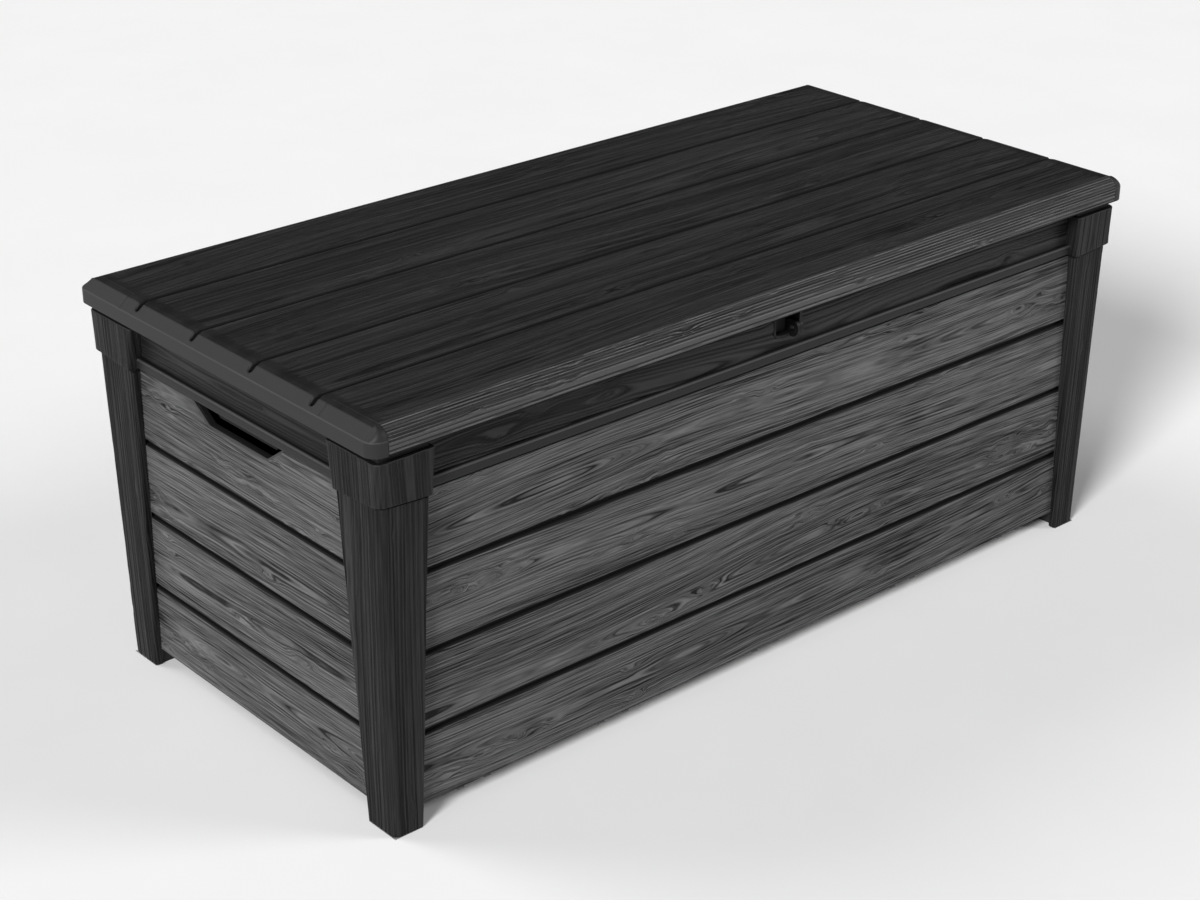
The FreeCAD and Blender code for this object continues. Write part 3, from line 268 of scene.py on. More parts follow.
class Skin:
    """Collects grids and CAD faces, and becomes one Blender piece.

    Its grain has three numbers for each point: the ridge height, the ring
    distance, and how much of the fine grain shows.
    """

    def __init__(self):
        self.points, self.grain, self.faces, self.slots = [], [], [], []
        self.count = 0

    def add(self, points, faces, grain, slot):
        """Faces are rows of point numbers, all of one length."""
        points = np.asarray(points, float).reshape(-1, 3)
        self.points.append(points)
        self.grain.append(np.broadcast_to(np.asarray(grain, float), (len(points), 3)))
        self.faces.append(np.asarray(faces, int) + self.count)
        self.slots.append(np.full(len(faces), slot))
        self.count += len(points)

    def add_grid(self, points, grain=PLAIN, slot=0, flip=False):
        """A sheet of rows by columns of points; rows by columns turns right-handed outwards."""
        rows, columns = points.shape[:2]
        row, column = np.meshgrid(np.arange(rows - 1), np.arange(columns - 1), indexing="ij")
        first = (row * columns + column).reshape(-1)
        faces = np.stack([first, first + 1, first + columns + 1, first + columns], 1)
        if flip:
            faces = faces[:, ::-1]
        self.add(points, faces, np.asarray(grain).reshape(-1, 3), slot)

    def add_ends(self, grid, slot):
        """A flat face over each end of a swept grid."""
        order = np.arange(len(grid))
        self.add(grid[:, 0], [order[::-1]], PLAIN, slot)
        self.add(grid[:, -1], [order], PLAIN, slot)

    def add_cad(self, node, keep, slot=0):
        """The CAD node's own faces that pass a test of their centres and normals."""
        mesh = frame["nodes"][node].data
        mesh.calc_loop_triangles()
        corners = np.zeros(len(mesh.loop_triangles) * 3, int)
        mesh.loop_triangles.foreach_get("vertices", corners)
        corners = corners.reshape(-1, 3)
        places = np.zeros(len(mesh.vertices) * 3)
        mesh.vertices.foreach_get("co", places)
        places = places.reshape(-1, 3)
        a, b, c = (places[corners[:, k]] for k in range(3))
        normal = np.cross(b - a, c - a)
        normal /= np.maximum(np.linalg.norm(normal, axis=1, keepdims=True), 1e-12)
        centre = (a + b + c) / 3
        chosen = corners[keep(centre, normal)]
        used, renumbered = np.unique(chosen, return_inverse=True)
        self.add(places[used], renumbered.reshape(-1, 3), PLAIN, slot)

    def build(self, name, materials):
        points = np.concatenate(self.points)
        loops = np.concatenate([faces.reshape(-1) for faces in self.faces])
        sizes = np.concatenate([np.full(len(faces), faces.shape[1]) for faces in self.faces])
        mesh = bpy.data.meshes.new(name)
        mesh.vertices.add(len(points))
        mesh.vertices.foreach_set("co", points.astype(np.float32).reshape(-1))
        mesh.loops.add(len(loops))
        mesh.loops.foreach_set("vertex_index", loops.astype(np.int32))
        mesh.polygons.add(len(sizes))
        starts = np.concatenate([[0], np.cumsum(sizes)[:-1]])
        mesh.polygons.foreach_set("loop_start", starts.astype(np.int32))
        mesh.polygons.foreach_set("material_index", np.concatenate(self.slots).astype(np.int32))
        mesh.update(calc_edges=True)
        attribute = mesh.attributes.new("grain", "FLOAT_VECTOR", "POINT")
        attribute.data.foreach_set("vector", np.concatenate(self.grain).astype(np.float32).reshape(-1))
        tidy_mesh(mesh)
        for material in materials:
            mesh.materials.append(material)
        piece = bpy.data.objects.new(name, mesh)
        bpy.context.scene.collection.objects.link(piece)
        return piece


def tidy_mesh(mesh):
    """Weld meeting points, drop faces with no area, and shade smooth up to real edges."""
    work = bmesh.new()
    work.from_mesh(mesh)
    bmesh.ops.remove_doubles(work, verts=work.verts, dist=0.00001)
    bmesh.ops.dissolve_degenerate(work, edges=work.edges, dist=0.000005)
    work.to_mesh(mesh)
    work.free()
    mesh.polygons.foreach_set("use_smooth", np.ones(len(mesh.polygons), bool))
    mesh.set_sharp_from_angle(angle=math.radians(48))


def finish_piece(piece, body, slot_name, *nodes):
    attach(piece, body)
    if nodes:
        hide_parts(*nodes)
    return piece


# ---------------------------------------------------------------- materials
def new_material(name):
    material = bpy.data.materials.new(name)
    material.use_nodes = True
    tree = material.node_tree
    return material, tree, tree.nodes["Principled BSDF"]


def add_node(tree, kind, **inputs):
    node = tree.nodes.new(kind)
    for key, value in inputs.items():
        node.inputs[key.replace("_", " ")].default_value = value
    return node


def stretched_noise(tree, scale, stretch, detail=4.0):
    """Noise over the object's own place, stretched by a factor along each axis."""
    place = tree.nodes.new("ShaderNodeTexCoord")
    mapping = tree.nodes.new("ShaderNodeMapping")
    mapping.inputs["Scale"].default_value = stretch
    tree.links.new(place.outputs["Object"], mapping.inputs["Vector"])
    pattern = add_node(tree, "ShaderNodeTexNoise", Scale=scale, Detail=detail, Roughness=0.6)
    tree.links.new(mapping.outputs["Vector"], pattern.inputs["Vector"])
    return pattern.outputs["Fac"]


def ranged(tree, value, low, high, out_low, out_high):
    """A Map Range node from low..high to out_low..out_high."""
    node = tree.nodes.new("ShaderNodeMapRange")
    for index, number in zip((1, 2, 3, 4), (low, high, out_low, out_high)):
        node.inputs[index].default_value = number
    tree.links.new(value, node.inputs[0])
    return node.outputs[0]


def combined(tree, operation, first, second):
    node = tree.nodes.new("ShaderNodeMath")
    node.operation = operation
    for socket, value in zip(node.inputs, (first, second)):
        if isinstance(value, (int, float)):
            socket.default_value = value
        else:
            tree.links.new(value, socket)
    return node.outputs[0]


def weighted(tree, *terms):
    """The sum of values, each times its weight."""
    total = None
    for value, weight in terms:
        term = combined(tree, "MULTIPLY", value, weight)
        total = combined(tree, "ADD", total, term) if total else term
    return total


def colour_between(tree, factor, dark, light):
    node = tree.nodes.new("ShaderNodeMix")
    node.data_type = "RGBA"
    node.inputs["A"].default_value = (*dark, 1)
    node.inputs["B"].default_value = (*light, 1)
    tree.links.new(factor, node.inputs["Factor"])
    return node.outputs["Result"]


def grey(level):
    """A neutral colour with the slight coolness of carbon-black resin."""
    return (level, level, level * 1.02)


def add_bump(tree, shader, height, strength, distance):
    bump = tree.nodes.new("ShaderNodeBump")
    bump.inputs["Strength"].default_value = strength
    bump.inputs["Distance"].default_value = distance
    tree.links.new(height, bump.inputs["Height"])
    tree.links.new(bump.outputs["Normal"], shader.inputs["Normal"])


def tint(tree, shader, tone, colours, roughness):
    """Colour and roughness that both follow one tone, each given at 0 and at 1."""
    tree.links.new(colour_between(tree, tone, *colours), shader.inputs["Base Color"])
    tree.links.new(ranged(tree, tone, 0, 1, *roughness), shader.inputs["Roughness"])


def grained_resin(name, along, greys, roughness, fine, gloss=0.18, bump=0.8):
    """Resin whose colour and gloss follow the embossed lines, with finer lines between them."""
    material, tree, shader = new_material(name)
    lines = tree.nodes.new("ShaderNodeAttribute")
    lines.attribute_name = "grain"
    parts = tree.nodes.new("ShaderNodeSeparateXYZ")
    tree.links.new(lines.outputs["Vector"], parts.inputs["Vector"])
    height, ring, shown = parts.outputs
    place = tree.nodes.new("ShaderNodeTexCoord")
    axes = tree.nodes.new("ShaderNodeSeparateXYZ")
    tree.links.new(place.outputs["Object"], axes.inputs["Vector"])
    run = axes.outputs[along.upper()]
    follow = tree.nodes.new("ShaderNodeCombineXYZ")
    tree.links.new(combined(tree, "MULTIPLY", ring, THREADS_ACROSS), follow.inputs["X"])
    tree.links.new(combined(tree, "MULTIPLY", run, THREADS_ALONG), follow.inputs["Y"])
    threads = add_node(tree, "ShaderNodeTexNoise", Scale=1.0, Detail=2.0, Roughness=0.7)
    tree.links.new(follow.outputs["Vector"], threads.inputs["Vector"])
    threads = ranged(tree, threads.outputs["Fac"], 0.33, 0.67, 0, 1)
    threads = combined(tree, "MULTIPLY", threads, shown)
    squeeze = {"x": (0.06, 1, 1), "y": (1, 0.06, 1), "z": (1, 1, 0.06)}[along]
    cloud = ranged(tree, stretched_noise(tree, 26, squeeze, detail=5), 0.3, 0.7, 0, 1)
    tone = weighted(tree, (height, 0.75 - fine), (threads, fine), (cloud, 0.25))
    tone = ranged(tree, tone, 0.22, 0.82, 0, 1)
    tint(tree, shader, tone, [grey(level) for level in greys], roughness)
    shader.inputs["Specular IOR Level"].default_value = gloss
    add_bump(tree, shader, threads, bump, 0.0006)
    return material


def smooth_resin(name, level, roughness):
    """Resin from a spark-eroded mould: a fine even texture and a faint mottle."""
    material, tree, shader = new_material(name)
    pores = stretched_noise(tree, 1400, (1, 1, 1), detail=2)
    cloud = stretched_noise(tree, 9, (1, 1, 1), detail=4)
    tone = ranged(tree, weighted(tree, (pores, 0.5), (cloud, 0.5)), 0.3, 0.7, 0, 1)
    tint(tree, shader, tone, (grey(level * 0.86), grey(level * 1.14)), (roughness - 0.05, roughness + 0.06))
    shader.inputs["Specular IOR Level"].default_value = 0.2
    add_bump(tree, shader, pores, 0.22, 0.0004)
    return material


def metal(name, colour, roughness, metallic, brushed=(1, 1, 1)):
    """Bare or painted steel with brushing or orange peel and a little wear."""
    material, tree, shader = new_material(name)
    marks = stretched_noise(tree, 600, brushed, detail=3)
    wear = stretched_noise(tree, 40, (1, 1, 1), detail=5)
    tone = ranged(tree, combined(tree, "MULTIPLY", combined(tree, "ADD", marks, wear), 0.5), 0.3, 0.7, 0, 1)
    colours = [tuple(min(1, level * share) for level in colour) for share in (0.8, 1.15)]
    tint(tree, shader, tone, colours, (roughness * 0.8, roughness * 1.25))
    shader.inputs["Metallic"].default_value = metallic
    add_bump(tree, shader, marks, 0.15, 0.0003)
    return material


# from the hollows to the ridges: grey levels, then roughness
panel_along_x = grained_resin("panel_resin_long", "x", (0.004, 0.129), (0.72, 0.50), fine=0.48)
panel_along_y = grained_resin("panel_resin_end", "y", (0.006, 0.130), (0.72, 0.50), fine=0.48)
board_resin = grained_resin("lid_board_resin", "x", (0.002, 0.030), (0.66, 0.50), fine=0.42)
nose_resin = grained_resin("lid_nose_resin", "x", (0.002, 0.042), (0.50, 0.36), fine=0.08,
                           gloss=0.45, bump=0.1)
band_along_x = grained_resin("band_resin_long", "x", (0.001, 0.024), (0.62, 0.42), fine=0.2)
# the end walls' bands get a darker copy of the band resin: painted shade under the lid's overhang
shaded_band_along_y = grained_resin("shaded_band_resin_end", "y", (0.003, 0.013), (0.62, 0.42), fine=0.2)
post_resin = grained_resin("post_resin", "z", (0.001, 0.021), (0.66, 0.50), fine=0.34)
edge_resin = smooth_resin("smooth_edge_resin", 0.0185, 0.50)
ledge_resin = smooth_resin("ledge_resin", 0.0120, 0.50)
inner_resin = smooth_resin("inner_resin", 0.016, 0.58)
inner_panel = smooth_resin("inner_panel_resin", 0.055, 0.60)
hasp_resin = smooth_resin("hasp_resin", 0.004, 0.45)
# near-black resin for painted shade: plank gaps, lid joints, the slot's depth, the groove under each collar
# and other shaded strips
painted_shade_resin = smooth_resin("painted_shade_resin", 0.003, 0.75)
rim_resin = smooth_resin("slot_rim_resin", 0.035, 0.55)
# lighter smooth resin for painted highlight lines on the ledge's top edge and at the foot of the lid's
# bevels
painted_highlight_edge = smooth_resin("painted_highlight_resin", 0.042, 0.48)


# --------------------------------------------------------------- wall panels
def on_side(side, along, reach, height):
    """World points from the place along a side, how far out it lies, and the height."""
    direction, outwards = SIDES[side]
    x = direction[0] * along + outwards[0] * reach
    y = direction[1] * along + outwards[1] * reach
    return np.stack(np.broadcast_arrays(x, y, height), -1)


def face_reach(side, height):
    base, slope = LEAN[group_of(side)]
    return base + slope * height


def grained_strip(skin, side, profile, limits, grain, seed, half, span, reach, shade_slot=0):
    """Sweep a profile along a side, between limits that may differ from row to row.

    The grain runs over the whole side, from -half to half, and over the heights of span.
    """
    starts, ends = (np.broadcast_to(limit, len(profile)) for limit in limits)
    normals = path_normals(profile)
    share = spaced(0, 1, 8 * MM / float(np.max(ends - starts)))
    along = starts[:, None] + (ends - starts)[:, None] * share[None, :]
    v = profile[:, 1][:, None] - span[0] + 0 * along
    raised, ring = grain.height(along + half, v, 2 * half, span[1] - span[0], seed)
    flat = ease(normals[:, 0], 0.75, 0.98)[:, None] + 0 * along
    sink = -grain.depth * (1 - raised) * flat
    out = reach + profile[:, 0][:, None] + normals[:, 0][:, None] * sink
    height = profile[:, 1][:, None] + normals[:, 1][:, None] * sink
    shade = np.stack([raised * flat + 0.3 * (1 - flat), ring, flat], -1)
    skin.add_grid(on_side(side, along, out, height), shade)
    middle = (profile[:-1] + profile[1:]) / 2
    # faces deep in the plank gaps and the strip just under the ledge take the near-black slot: painted
    # shade, and a painted shadow line under the ledge
    shadow_under_ledge = (middle[:, 1] > PANEL_HIGH - 2 * MM) & (middle[:, 1] < PANEL_HIGH)
    painted_shade = (middle[:, 0] < -2 * MM) | shadow_under_ledge
    skin.slots[-1] = np.where(np.repeat(painted_shade, along.shape[1] - 1), shade_slot, 0)


def rim(skin, side, outline, section, reach, slot, inner_slot):
    """Sweep a section, as (away from the opening, out of the face), along an opening's edge."""
    away = path_normals(outline)
    section = np.array(section) * MM
    along = outline[:, 0][None, :] + away[:, 0][None, :] * section[:, 0][:, None]
    height = outline[:, 1][None, :] + away[:, 1][None, :] * section[:, 0][:, None]
    out = reach(np.minimum(height, RAIL_TOP)) + section[:, 1][:, None]
    skin.add_grid(on_side(side, along, out, height), slot=slot)
    skin.slots[-1][-(len(outline) - 1):] = inner_slot


def plank_levels():
    """The low and high edge of each of the four planks of a wall."""
    gaps = [FIRST_GAP + i * PLANK_PITCH for i in range(3)]
    lows = [PANEL_LOW] + [gap + PLANK_GAP / 2 for gap in gaps]
    highs = [gap - PLANK_GAP / 2 for gap in gaps] + [PANEL_HIGH]
    return list(zip(lows, highs))


def wall_skin(side, seed):
    """Four planks in front of the moulding's own back, which is the CAD node's."""
    node = side + "_panel"
    low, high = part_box(node)
    half = (high.x - low.x) / 2 if side in LONG_SIDES else (high.y - low.y) / 2
    skin = Skin()
    for index, (bottom, top) in enumerate(plank_levels()):
        profile = rounded_path([
            (-GAP_DEPTH, bottom, 0), (0, bottom, 1.0 * MM),
            (0, top, PLANK_ROUND), (-GAP_DEPTH, top, 0)], 0.92 * MM)
        number = seed + 17 * index
        if index == 3 and side not in LONG_SIDES:
            slotted_plank(skin, side, profile, half, number)
        else:
            reach = face_reach(side, profile[:, 1])[:, None]
            grained_strip(skin, side, profile, (-half, half), PLANK_GRAIN, number, half,
                          (bottom, top), reach, shade_slot=2)
    outwards = outwards_of(side)

    def behind(centre, normal):
        depth = face_reach(side, centre[:, 2]) - centre @ outwards
        by_slot = (side not in LONG_SIDES) & (np.abs(centre[:, 1]) < SLOT_TOP_HALF + 3 * MM)
        by_slot = by_slot & (centre[:, 2] > SLOT_BOTTOM - 2 * MM) & (depth < WALL - 0.1 * MM)
        in_gap = (np.abs(normal[:, 2]) > 0.9) & (depth < GAP_DEPTH - 0.1 * MM)
        in_gap = in_gap & (centre[:, 2] > PANEL_LOW + MM) & (centre[:, 2] < PANEL_HIGH - MM)
        return (normal @ outwards <= 0.9) & ~in_gap & ~by_slot

    # the floors of the plank gaps take the near-black material: painted shade
    def shaded_gap_floors(centre, normal):
        depth = face_reach(side, centre[:, 2]) - centre @ outwards
        return (normal @ outwards > 0.9) & (np.abs(depth - GAP_DEPTH) < 0.4 * MM)
    skin.add_cad(node, behind, slot=1)
    skin.add_cad(node, shaded_gap_floors, slot=2)
    material = panel_along_x if side in LONG_SIDES else panel_along_y
    piece = skin.build(node + "_planks", [material, inner_panel, painted_shade_resin, rim_resin])
    return finish_piece(piece, "chest", "panel_resin", node)


def slotted_plank(skin, side, profile, half, seed):
    """The top plank of an end wall, in three parts around the finger slot and its smooth rim."""
    height = profile[:, 1]
    base = SLOT_BOTTOM - RIM
    below = np.vstack([profile[height < base - 0.3 * MM], [[0, base]]])
    above = np.vstack([[[0, base]], profile[height > base + 0.3 * MM]])
    slant = (SLOT_TOP_HALF - SLOT_BOTTOM_HALF) / (PANEL_HIGH - SLOT_BOTTOM)
    inner = SLOT_BOTTOM_HALF + slant * (above[:, 1] - SLOT_BOTTOM) + RIM * math.hypot(1, slant)
    for rows, limits in ((below, (-half, half)), (above, (-half, -inner)), (above, (inner, half))):
        grained_strip(skin, side, rows, limits, PLANK_GRAIN, seed, half, (height[0], height[-1]),
                      face_reach(side, rows[:, 1])[:, None], shade_slot=2)
    edge = rounded_path([
        (-SLOT_TOP_HALF, PANEL_HIGH, 0), (-SLOT_BOTTOM_HALF, SLOT_BOTTOM, SLOT_ROUND),
        (SLOT_BOTTOM_HALF, SLOT_BOTTOM, SLOT_ROUND), (SLOT_TOP_HALF, PANEL_HIGH, 0)], 3 * MM)
    section = ((9, -1.4), (3.2, -0.7), (1.2, -0.8), (0.4, -1.1), (0, -1.8), (0, -12))
    # the rim is the lighter smooth resin; the slot's inner walls past it are painted near-black as shade in
    # the opening
    rim(skin, side, edge, section, lambda level: face_reach(side, level), 3, 2)


# --------------------------------------------------------------------- rails
def slot_lip(skin, side, proud):
    """The low lip with slanted ends that hangs from an end ledge over the finger slot."""
    front = proud - 3 * MM
    path = rounded_path([
        (-5 * MM, PANEL_HIGH, 0), (-5 * MM, LIP_FOOT, 0), (front, LIP_FOOT, 1.2 * MM),
        (front, LEDGE_FOOT, 0), (-MM, LEDGE_FOOT, 0)], 2 * MM)
    low, high = sorted(place * SIDES[side][0][1] for place in LIP_SPAN)
    slant = LEDGE_FOOT - path[:, 1][:, None]
    along = low + slant + (high - low - 2 * slant) * spaced(0, 1, 0.1)[None, :]
    grid = on_side(side, along, BAND["end"] + path[:, 0][:, None], path[:, 1][:, None])
    # the lip is painted near-black: painted shade under the ledge
    skin.add_grid(grid, slot=3)
    skin.add_ends(grid, slot=3)


def rail_skin(side, seed):
    """Wood-grain band above a smooth proud ledge, on the rail's own inner faces."""
    node = side + "_rail"
    kind = group_of(side)
    half = BAND_HALF[kind]
    skin = Skin()
    band = rounded_path([(0, LEDGE_TOP, 0), (0, RAIL_TOP, 1.5 * MM), (-4 * MM, RAIL_TOP, 0)], 1.15 * MM)
    if side == "front":
        recessed_band(skin, band, half, seed)
    else:
        grained_strip(skin, side, band, (-half, half), BAND_GRAIN[kind], seed, half, (LEDGE_TOP, RAIL_TOP),
                      BAND[kind])
    proud = LEDGE[kind] - BAND[kind]
    blunt, top_bevel = 0.8 * MM, 2.4 * MM
    ledge = subdivided([np.array(corner) for corner in (
        (-3 * MM, PANEL_HIGH), (0, PANEL_HIGH), (0, LEDGE_FOOT),
        (proud - blunt, LEDGE_FOOT), (proud, LEDGE_FOOT + blunt),
        (proud, LEDGE_TOP - top_bevel), (proud - blunt, LEDGE_TOP - blunt), (proud - top_bevel, LEDGE_TOP),
        (3.6 * MM, LEDGE_TOP), (-0.5 * MM, LEDGE_TOP - 0.4 * MM))], 4 * MM)
    places = spaced(-LEDGE_HALF[kind], LEDGE_HALF[kind], 60 * MM)
    grid = on_side(side, places[None, :], BAND[kind] + ledge[:, 0][:, None], ledge[:, 1][:, None])
    skin.add_grid(grid)
    middle = (ledge[:-1] + ledge[1:]) / 2
    finish = np.full(len(middle), 2)
    # the rounded outer top edge of the ledge takes the lighter resin: a painted highlight line
    finish[(middle[:, 1] > LEDGE_TOP - top_bevel) & (middle[:, 0] > proud - top_bevel)] = 4
    # the ledge's top face beside the band takes the near-black resin: painted shade
    finish[(middle[:, 1] > LEDGE_TOP - 0.3 * MM) & (middle[:, 0] < 3.6 * MM)] = 3
    skin.slots[-1] = np.repeat(finish, len(places) - 1)
    skin.add_ends(grid, slot=2)
    if side not in LONG_SIDES:
        slot_lip(skin, side, proud)
    outwards = outwards_of(side)

    def inside(centre, normal):
        depth = BAND[kind] - centre @ outwards
        in_recess = (side == "front") & (centre[:, 2] > RECESS_LOW - MM)
        in_recess = in_recess & (centre[:, 0] > RECESS_LEFT - MM) & (centre[:, 0] < RECESS_RIGHT + MM)
        in_recess = in_recess & (depth > 0.2 * MM) & (depth < RECESS_DEEP)
        above_lip = (depth > 0.2 * MM) & (centre[:, 2] > PANEL_HIGH - 0.1 * MM)
        facing = normal @ outwards
        return above_lip & (facing < 0.5) & ~in_recess | in_recess & (facing > 0.9)
    skin.add_cad(node, inside, slot=1)
    material = band_along_x if side in LONG_SIDES else shaded_band_along_y
    piece = skin.build(node + "_skin", [material, inner_resin, ledge_resin, painted_shade_resin, painted_highlight_edge])
    return finish_piece(piece, "chest", "frame_resin", node)


def recessed_band(skin, band, half, seed):
    """The front band in three parts around the lock's recess."""
    low = np.vstack([band[band[:, 1] < RECESS_LOW - 0.3 * MM], [[0, RECESS_LOW]]])
    high = np.vstack([[[0, RECESS_LOW]], band[band[:, 1] > RECESS_LOW + 0.3 * MM]])
    for rows, limits in ((low, (-half, half)), (high, (-half, RECESS_LEFT)), (high, (RECESS_RIGHT, half))):
        grained_strip(skin, "front", rows, limits, BAND_GRAIN["long"], seed, half, (LEDGE_TOP, RAIL_TOP),
                      BAND["long"])
    mouth = RAIL_TOP - 2 * MM
    edge = rounded_path([
        (RECESS_LEFT, mouth, 0), (RECESS_LEFT, RECESS_LOW, 6 * MM),
        (RECESS_RIGHT, RECESS_LOW, 6 * MM), (RECESS_RIGHT, mouth, 0)], 6 * MM)
    section = ((3.6, -1), (3.5, 0.5), (2.6, 1.4), (1.7, 1.6), (0.7, 1.2), (0.1, 0.2), (0, -9))
    rim(skin, "front", edge, section, lambda level: BAND["long"] + 0 * level, 2, 1)


# --------------------------------------------------------------------- posts
# corner's X and Y and the widths along X and Y, in mm: at the lower end and at the upper end
POST_SIZES = {
    "shaft": ((701, 708.5), (326.7, 334.5), (47.5, 77.5), (61.5, 93.5)),
    "collar": ((714, 715), (340, 341.5), (86, 91.5), (99, 109.5)),
}


def post_outline(height, part):
    """Corner place and widths of a post, in the corner where X and Y are positive."""
    low, high = (0, COLLAR_LOW) if part == "shaft" else (COLLAR_LOW, COLLAR_HIGH)
    share = (height - low) / (high - low)
    return [(lower + (upper - lower) * share) * MM for lower, upper in POST_SIZES[part]]


def post_row(height, part, inset, seat_x, seat_y):
    """One level's outline, from the long wall round the corner to the end wall."""
    corner_x, corner_y, width_x, width_y = post_outline(height, part)
    near_x, near_y = corner_x + inset - width_x, corner_y + inset - width_y
    corner_x, corner_y = corner_x - inset, corner_y - inset
    outer, inner = POST_ROUND[part]
    outline = rounded_path([
        (near_x, seat_y, 0), (near_x, corner_y, inner), (corner_x, corner_y, outer),
        (corner_x, near_y, inner), (seat_x, near_y, 0)])
    lengths = np.linalg.norm(np.diff(outline, axis=0), axis=1)
    counts = np.ones(len(lengths), int)
    counts[np.sort(np.argsort(lengths)[-len(POST_RUNS):])] = POST_RUNS
    result = [outline[0]]
    for start, end, count in zip(outline, outline[1:], counts):
        result += [start + (end - start) * k / count for k in range(1, count + 1)]
    return np.array(result)


def foot_slant(outline, height, part):
    """How far the collar's foot line rises at the corner and falls at its inner ends."""
    corner_x, corner_y, width_x, width_y = post_outline(height, part)
    share = np.maximum((corner_x - outline[:, 0]) / width_x, (corner_y - outline[:, 1]) / width_y)
    if part == "shaft":
        near_foot = float(ease(height, COLLAR_LOW - 60 * MM, COLLAR_LOW))
    else:
        near_foot = 1 - (height - COLLAR_LOW) / (COLLAR_HIGH - COLLAR_LOW)
    return near_foot * (COLLAR_LIFT - (COLLAR_LIFT + COLLAR_DROP) * np.clip(share, 0, 1))


def post_sheet(skin, levels, mirror, seed):
    """Rows of the post's outline, grained vertically. levels are (height, part, inset, slot above)."""
    rows, slants = [], []
    for height, part, inset, _ in levels:
        seat_x, seat_y = face_reach("left", height), face_reach("front", height)
        if height > PANEL_HIGH:
            seat_x, seat_y = BAND["end"], BAND["long"]
        outline = post_row(height, part, inset, seat_x - MM, seat_y - MM)
        rows.append(outline)
        slants.append(foot_slant(outline, height, part))
    normals = np.array([-path_normals(outline) for outline in rows])
    lengths = np.array([arc_length(outline) for outline in rows])
    heights, _, insets, slots = (np.array(column)[:, None] for column in zip(*levels))
    across = lengths - lengths[:, -1:] / 2 + POST_WRAP / 2
    raised, ring = POST_GRAIN.height(heights + 0 * lengths, across, POST_LENGTH, POST_WRAP, seed)
    plain = ease(insets, 0.1 * MM, 1.5 * MM) + 0 * lengths
    foot = ease(np.abs(heights - COLLAR_LOW), 0, 6 * MM)
    sink = -POST_GRAIN.depth * (1 - raised) * (1 - plain) * foot
    plan = np.array(rows) + normals * sink[..., None]
    x, y = plan[..., 0] * mirror[0], plan[..., 1] * mirror[1]
    shade = np.stack([raised * (1 - plain) + 0.3 * plain, ring, 1 - plain], -1)
    skin.add_grid(np.stack([x, y, heights + np.array(slants)], -1), shade, flip=mirror[0] * mirror[1] > 0)
    skin.slots[-1] = np.repeat(slots[:-1, 0], lengths.shape[1] - 1)


def post_skin(name, mirror, seed):
    """Tapered shaft, proud collar with a rounded foot, and the neck that the CAD node gives."""
    skin = Skin()
    joint = COLLAR_LOW - 4.2 * MM
    shaft = [(height, "shaft", 0.0, 0) for height in spaced(1.5 * MM, joint, 7 * MM)]
    # slot 2 is the near-black resin: the small groove under the collar is painted as a dark shadow line
    shaft = [(0.0, "shaft", 1.2 * MM, 0)] + shaft[:-1] + [(joint, "shaft", 0.0, 2)]
    shaft += [(joint, "shaft", 1.6 * MM, 2), (COLLAR_LOW + MM, "shaft", 1.6 * MM, 2)]
    post_sheet(skin, shaft, mirror, seed)
    radius = 1.4 * MM
    # the collar's underside is painted near-black, as painted shade
    collar = [(COLLAR_LOW, "collar", 6.0 * MM, 2)]
    for angle in np.radians((0, 30, 60, 90)):
        rise, inset = radius * (1 - math.cos(angle)), radius * (1 - math.sin(angle))
        collar.append((COLLAR_LOW + rise, "collar", inset, 0))
    places = spaced(COLLAR_LOW + 8 * MM, COLLAR_HIGH - 9 * MM, 7 * MM)
    collar += [(height, "collar", 0.0, 0) for height in places]
    # the collar's top edge takes the lighter smooth resin as a painted highlight line, and its top face the
    # near-black resin as painted shade under the lid
    collar += [(COLLAR_HIGH - 1.1 * MM, "collar", 0.0, 3), (COLLAR_HIGH - 0.3 * MM, "collar", 0.4 * MM, 3),
               (COLLAR_HIGH, "collar", 1.1 * MM, 2), (COLLAR_HIGH, "collar", 8.0 * MM, 2)]
    post_sheet(skin, collar, mirror, seed + 5)

    def rest(centre, _):
        x, y, z = np.abs(centre).T
        corner_x, corner_y, width_x, width_y = post_outline(np.minimum(z, COLLAR_LOW), "shaft")
        edge = 0.5 * MM
        in_shaft = (x < corner_x - edge) & (y < corner_y - edge) & (z < COLLAR_LOW - MM)
        in_shaft &= (x > corner_x - width_x + edge) | (y < WALLS_INSIDE[1])
        in_shaft &= (y > corner_y - width_y + edge) | (x < WALLS_INSIDE[0])
        return in_shaft | (z > COLLAR_HIGH + 0.1 * MM)
    skin.add_cad(name, rest, slot=1)
    piece = skin.build(name + "_skin", [post_resin, inner_resin, painted_shade_resin, edge_resin])
    return finish_piece(piece, "chest", "frame_resin", name)


# ----------------------------------------------------------------------- lid
def smooth_min(a, b, softness):
    mix = np.clip(0.5 + 0.5 * (b - a) / softness, 0, 1)
    return b * (1 - mix) + a * mix - softness * mix * (1 - mix)


def edge_height(distance, edge):
    """The lid's height at some distance in from an end, which keeps rising past the bevel."""
    runs = [run * MM for run, _ in edge] + [edge[-1][0] * MM + 1]
    tops = [top * MM for _, top in edge] + [edge[-1][1] * MM + 0.3]
    return np.interp(distance, runs, tops)


def nose_height(distance):
    inner = np.clip(NOSE - distance, 0, NOSE)
    return LID_TOP - NOSE + np.sqrt(NOSE ** 2 - inner ** 2) + 0.4 * np.clip(distance - NOSE, 0, 1)


def groove_centres():
    return [BOARD_SHIFT + (i - 1.5) * BOARD_PITCH for i in range(4)]


